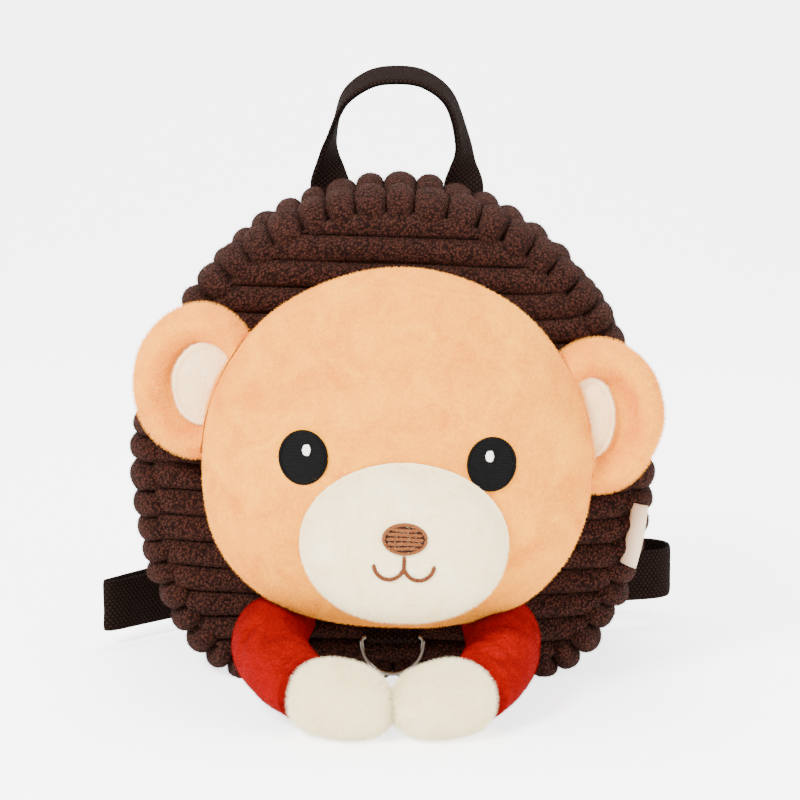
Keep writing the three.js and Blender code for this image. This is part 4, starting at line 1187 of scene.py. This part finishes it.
def paw(side, name, seed):
    x, forward, _, _ = sleeve_centres(side, 40)
    out = np.array([x[-1] - x[-2], forward[-1] - forward[-2]])
    out /= np.linalg.norm(out)
    heading = np.array([-side * math.sin(PAW_TURN), math.cos(PAW_TURN)])
    rows = even_rows(PAW_ROWS, 64)
    rows[:, 1:] = np.maximum(rows[:, 1:], 0.004)
    level = PAW_HEIGHT / 2 * (1 - PAW_TIP_LIFT * np.clip((rows[:, 0] - 0.3) / 0.7, 0, 1))
    centre_x = x[-1] + out[0] * CLEARANCE + heading[0] * rows[:, 0] * PAW_LENGTH
    centre_forward = forward[-1] + out[1] * CLEARANCE + heading[1] * rows[:, 0] * PAW_LENGTH
    px, pf, pz = limb(
        centre_x, centre_forward, level, PAW_WIDTH / 2 * rows[:, 1], PAW_HEIGHT / 2 * rows[:, 2], 80,
        lambda along, angle: 0.0 * along * angle)
    limit = CLEARANCE / 2
    px = np.maximum(px, limit) if side > 0 else np.minimum(px, -limit)
    return skin(name, in_front(px, pf, pz), CREAM_PLUSH, (14.0, 0.7, seed))


# Webbing

def band(name, rows, flat, edge, width, thickness, steps, material):
    """A flat band along a smooth route. Rows hold a place and a turn from flat to edge."""
    table = even_rows([[*place, turn] for place, turn in rows], steps)
    centre, turn = table[:, :3], np.clip(table[:, 3:], 0, 1)
    along = unit(np.gradient(centre, axis=0))
    wide = np.array(flat) * (1 - turn) + np.array(edge) * turn
    wide = unit(wide - along * np.sum(wide * along, axis=1)[:, None])
    thick = np.cross(along, wide)
    run = np.linspace(-1, 1, 14)
    rounded = np.sqrt(np.clip(1 - np.abs(run) ** 10, 0, 1)) * 0.7 + 0.3
    side = np.concatenate([run, run[::-1]])
    rise = np.concatenate([rounded, -rounded[::-1]])
    rings = centre[:, None] + wide[:, None] * (side * width / 2)[:, None]
    rings = rings + thick[:, None] * (rise * thickness / 2)[:, None]
    uv = np.stack(np.broadcast_arrays((side + 1) * width / 2, distances(centre)[:, None]), axis=-1)
    return skin(name, rings, material, uv=uv)


UPRIGHT = np.array([0, LEAN, 1]) / math.hypot(LEAN, 1)
HANDLE_ROWS = [
    # out: share of half the span; up: share of the rise; turn: 0 flat on the bag, 1 across the top
    (1.00, 0.00, 0.00), (1.00, 0.23, 0.00), (1.01, 0.40, 0.50), (0.99, 0.58, 0.80), (0.79, 0.84, 0.95),
    (0.42, 0.97, 1.00), (0.00, 1.00, 1.00),
]


def handle():
    sag = HANDLE_THICKNESS / 2 + HANDLE_WIDTH / 2 * math.sin(HANDLE_TILT)
    rise = BAG_HEIGHT + HANDLE_RISE - sag - HANDLE_FOOT
    edge = (0, math.cos(HANDLE_TILT), math.sin(HANDLE_TILT))
    rows = []
    for side, table in ((-1, HANDLE_ROWS), (1, HANDLE_ROWS[-2::-1])):
        for out, up, turn in table:
            x = side * out * HANDLE_SPAN / 2 + HEAD_ACROSS
            rows.append((behind(x, CLEARANCE + HANDLE_THICKNESS / 2, HANDLE_FOOT + up * rise), turn))
    return band("webbing_handle", rows, (1, 0, 0), edge, HANDLE_WIDTH, HANDLE_THICKNESS, 110, WEBBING)


STRAP_ROWS = [
    # across: share of the bag's width; bow: share of the bow; along: share from top to end
    (0.090, 0.00, 0.00), (0.093, 0.03, 0.10), (0.120, 0.55, 0.30), (0.175, 1.00, 0.52), (0.240, 0.78, 0.72),
    (0.282, 0.14, 0.88), (0.288, 0.05, 0.94), (0.288, 0.05, 1.00),
]


def shoulder_strap(side, name):
    rows = [(behind(
        side * across * BAG_WIDTH, CLEARANCE + STRAP_THICKNESS / 2 + bow * STRAP_BOW,
        STRAP_TOP + (STRAP_END - STRAP_TOP) * along), 0.0) for across, bow, along in STRAP_ROWS]
    return band(name, rows, (1, 0, 0), UPRIGHT, STRAP_WIDTH, STRAP_THICKNESS, 70, BACK_STRAP)


LOOP_ROWS = {
    # across: share from the strap's foot to the reach; back: share of the bag's depth;
    # up: share from the loop's height to the lock; turn: 0 flat, 1 on edge
    "right": [
        (0.00, 0.02, 1.00, 0.0), (0.00, 0.02, 0.90, 0.0), (0.01, 0.06, 0.76, 0.0), (0.16, 0.24, 0.36, 0.5),
        (0.42, 0.42, 0.08, 0.9), (0.70, 0.50, 0.00, 1.0), (0.93, 0.44, 0.00, 1.0), (1.00, 0.30, 0.00, 1.0),
        (0.92, 0.16, 0.00, 1.0), (0.66, 0.08, 0.00, 1.0), (0.36, 0.03, 0.00, 1.0), (0.20, 0.00, 0.00, 1.0),
        (0.06, 0.00, 0.00, 1.0),
    ],
    "left": [
        (0.00, 0.02, 1.00, 0.0), (0.00, 0.02, 0.90, 0.0), (0.01, 0.06, 0.76, 0.0), (0.10, 0.22, 0.40, 0.5),
        (0.28, 0.32, 0.10, 0.9), (0.52, 0.20, 0.00, 1.0), (0.80, -0.14, 0.00, 1.0), (0.96, -0.34, 0.00, 1.0),
        (1.00, -0.40, 0.00, 1.0), (0.94, -0.40, 0.00, 1.0), (0.76, -0.24, 0.00, 1.0),
        (0.54, -0.05, 0.00, 1.0), (0.38, 0.01, 0.00, 1.0), (0.22, 0.00, 0.00, 1.0), (0.06, 0.00, 0.00, 1.0),
    ],
}


def webbing_loop(side, name, rows, height):
    foot = STRAP_ROWS[-1][0] * BAG_WIDTH
    lock_bottom = STRAP_END - CLEARANCE * 3 - STRAP_LOCK_HEIGHT
    reach = LOOP_REACH - WEBBING_THICKNESS / 2
    places = [(behind(
        side * (foot + (reach - foot) * across), CLEARANCE + WEBBING_THICKNESS / 2 + back * BAG_DEPTH,
        height + (lock_bottom - height) * up), turn) for across, back, up, turn in rows]
    return band(name, places, (side, 0, 0), UPRIGHT, WEBBING_WIDTH, WEBBING_THICKNESS, 150, WEBBING)


# D-ring, tab and label

BAR_FORWARD = CREST + PANEL_CROWN * 0.56 + CLEARANCE * 4 + TAB_THICKNESS + RING_WIRE / 2


def ring_path(count):
    half = (RING_INNER + RING_WIRE) / 2
    corner = RING_WIRE
    t = np.linspace(0, 1, 24)[:, None]

    def corner_of(side):
        a = np.array([side * (half - corner), 0.0])
        b = np.array([side * half, 0.0])
        c = np.array([side * half, -corner])
        return (1 - t) ** 2 * a + 2 * (1 - t) * t * b + t ** 2 * c

    turn = np.linspace(0, -np.pi, 160)[1:-1]
    bow = np.stack([half * np.cos(turn), -corner + (RING_DROP - corner) * np.sin(turn)], axis=1)
    return even_loop(np.vstack([corner_of(1), bow, corner_of(-1)[::-1], corner_of(1)[:1]]), count)


def d_ring():
    pivot = in_front(0.0, BAR_FORWARD, RING_BAR_HEIGHT)
    out = RING_WIRE / 2 * np.cos(circle(20))
    deep = RING_WIRE / 2 * np.sin(circle(20))
    rings = [np.stack([pivot[0] + x + az * out, pivot[1] + deep, pivot[2] + z - ax * out], axis=1)
             for (x, z), (ax, az) in zip(*ring_path(160))]
    return skin("wire_d_ring", rings, NICKEL, loop=True)


def d_ring_tab():
    wrap = RING_WIRE / 2 + CLEARANCE + TAB_THICKNESS / 2
    top = HEAD_BOTTOM + 1.2
    lead = (TAB_THICKNESS + CLEARANCE) / 2 + 0.05
    pinch = RING_BAR_HEIGHT + RING_WIRE * 1.4
    turn = np.radians(np.arange(0, 181, 20))
    route = [(BAR_FORWARD - lead, top), (BAR_FORWARD - lead, pinch)]
    route += [(BAR_FORWARD - wrap * math.cos(a), RING_BAR_HEIGHT - wrap * math.sin(a)) for a in turn]
    route += [(BAR_FORWARD + lead, pinch), (BAR_FORWARD + lead, top)]
    rows = [(in_front(0.0, forward, z), 0.0) for forward, z in route]
    return band("webbing_tab", rows, (1, 0, 0), (1, 0, 0), TAB_WIDTH, TAB_THICKNESS, 60, WEBBING)


def side_label():
    """A bare folded ribbon sewn into the seam."""
    points, outward = outline(480)
    keep = (points[:, 0] > 0) & (np.abs(points[:, 1] - LABEL_HEIGHT) <= LABEL_LENGTH / 2)
    share = np.linspace(0, 1, 12)
    fold = [(s * 6.8 - 0.4, 4.4 + 6.2 * s ** 0.5 + 0.6 * math.sin(math.pi * s)) for s in share]
    fold += [(s * 7.2 - 0.8, 5.2 + 6.3 * s ** 0.5 + 0.7 * math.sin(math.pi * s)) for s in share[::-1]]
    out, forward = np.array(fold).T
    reach = CLEARANCE * 4 + out
    rings = [in_front(x + ox * reach, CLEARANCE * 3 + forward, z + oz * reach)
             for (x, z), (ox, oz) in zip(points[keep], outward[keep])]
    uv = np.stack(np.broadcast_arrays(out, np.arange(len(rings))[:, None] * 1.5), axis=-1)
    return skin("folded_label", rings, LABEL_RIBBON, uv=uv)


# Zip
# Zip

def zip_line(margin):
    """Seam points and outward directions along the zip, which stops short by some ribs."""
    count = RIB_COUNT * 6
    points, outward = outline(count)
    keep = np.abs(np.arange(count) / count - 0.5) <= ZIP_SHARE / 2 - margin / RIB_COUNT
    return points[keep], outward[keep]


def zip_piece():
    """The tape's two cloth halves in one band."""
    points, outward = zip_line(1.5)
    sideways = np.array([-11, -4, 0, 4, 11, 11, 0, -11])
    out = ZIP_FLOOR - np.array([0, 0, 0, 0, 0, 1.2, 1.2, 1.2])
    rings = [in_bag(x + ox * out, sideways, z + oz * out) for (x, z), (ox, oz) in zip(points, outward)]
    uv = np.stack(np.broadcast_arrays(sideways, np.arange(len(rings))[:, None] * 2.0), axis=-1)
    return skin("zip_cloth", rings, ZIP_CLOTH, uv=uv)


def zip_coil():
    """The closed coil between the tape's two halves."""
    points, outward = zip_line(2)
    path = points + outward * (ZIP_FLOOR + 0.2)
    up = np.stack([outward[:, 0], 0 * outward[:, 0], outward[:, 1]], axis=1)
    return beads("zip_coil", in_bag(path[:, 0], 0.0, path[:, 1]), up, 1.5, (1.25, 4.4, 1.3), LOCK_PLASTIC)


def seam_stitches():
    """Rows of thread on the back panel, the straps and the handle's feet."""
    rows = []
    facing = np.array([0, 1, 0])
    points, _ = outline(400)
    ring = behind(points[:, 0] * 0.93, 0.1, WAIST_HEIGHT + (points[:, 1] - WAIST_HEIGHT) * 0.93)
    rows.append(beads("back_seam", ring, facing, 3.4, (2.6, 0.7, 0.5), SEAM_THREAD, closed=True))
    for side in (-1, 1):
        middle = HEAD_ACROSS + side * HANDLE_SPAN / 2
        back = CLEARANCE + HANDLE_THICKNESS + 0.05
        low, high = HANDLE_FOOT + 1.5, HANDLE_FOOT + 13.0
        box = [(-7.5, low), (7.5, low), (7.5, high), (-7.5, high), (-7.5, low), (7.5, high)]
        path = np.array([behind(middle + x, back, z) for x, z in box])
        rows.append(beads("handle_foot_seam", path, facing, 2.1, (1.6, 0.6, 0.5), SEAM_THREAD))
        table = even_rows(STRAP_ROWS, 60)
        for edge in (-1, 1):
            x = side * table[:, 0] * BAG_WIDTH + edge * (STRAP_WIDTH / 2 - 3.2)
            back = CLEARANCE + STRAP_THICKNESS + table[:, 1] * STRAP_BOW - 0.05
            path = behind(x, back, STRAP_TOP + (STRAP_END - STRAP_TOP) * table[:, 2])
            rows.append(beads("strap_seam", path[2:-2], facing, 3.0, (2.2, 0.6, 0.5), SEAM_THREAD))
    return join("seam_stitches", rows)


# Assembly

def plush(piece, slot, node_name, hairs, length, seed, padding=None, lean=0.6):
    """Seat a pile-covered piece and its coat of hairs."""
    seat(fuzz(piece, hairs, length, lean, seed), slot)
    seat(piece, slot, node_name, padding=padding)


make_camera()
make_studio()

plush(front_panel(), "corduroy", "front_panel", 46000, 1.2, 71)
plush(gusset(-1, "corduroy_gusset_front", 11), "corduroy", "front_gusset", 42000, 1.1, 72)
plush(gusset(1, "corduroy_gusset_back", 15), "corduroy", "back_gusset", 38000, 1.1, 73)
seat(back_panel(), "corduroy", "back_panel", padding=0.8)
seat(zip_piece(), "webbing", "zip_tape")
plush(head(), "tan_plush", "head", 36000, 0.9, 74, padding=0.9, lean=0.8)
plush(muzzle(), "cream_plush", "muzzle", 17000, 1.7, 75, padding=0.9, lean=0.9)
for name, side in (("left", -1), ("right", 1)):
    plush(ear(name, 51 + side), "tan_plush", "ear_" + name, 12000, 1.7, 76 + side, padding=0.8)
    plush(ear_lining(name, 55 + side), "ear_lining", "ear_lining_" + name, 3000, 1.2, 79 + side)
    black, white = eye(name)
    seat(black, "black_thread", "eye_" + name)
    seat(white, "white_thread", "eye_glint_" + name)
    arm = sleeve(side, "plush_sleeve_" + name, 61 + side)
    plush(arm, "red_plush", "sleeve_" + name, 12000, 0.8, 82 + side, padding=0.85)
    hand = paw(side, "plush_paw_" + name, 65 + side)
    plush(hand, "cream_plush", "paw_" + name, 17000, 3.0, 85 + side, padding=0.9, lean=0.9)
    seat(shoulder_strap(side, "padded_strap_" + name), "strap_cloth", "strap_" + name, padding=0.6)
    loop = webbing_loop(side, "webbing_strap_" + name, LOOP_ROWS[name], LOOP_HEIGHTS[name])
    seat(loop, "webbing", "webbing_" + name)
    dress(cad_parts["strap_slider_" + name], LOCK_PLASTIC)
seat(nose(), "brown_thread", "nose")
seat(mouth(), "dark_brown_thread", "mouth")
seat(handle(), "webbing", "handle")
seat(d_ring_tab(), "webbing", "d_ring_tab")
seat(d_ring(), "ring_steel", "d_ring", body="ring")
seat(side_label(), "label_ribbon", "side_label")
seat(zip_coil(), "webbing")
seat(seam_stitches(), "dark_brown_thread")
dress(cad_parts["zip_slider"], DARK_METAL)
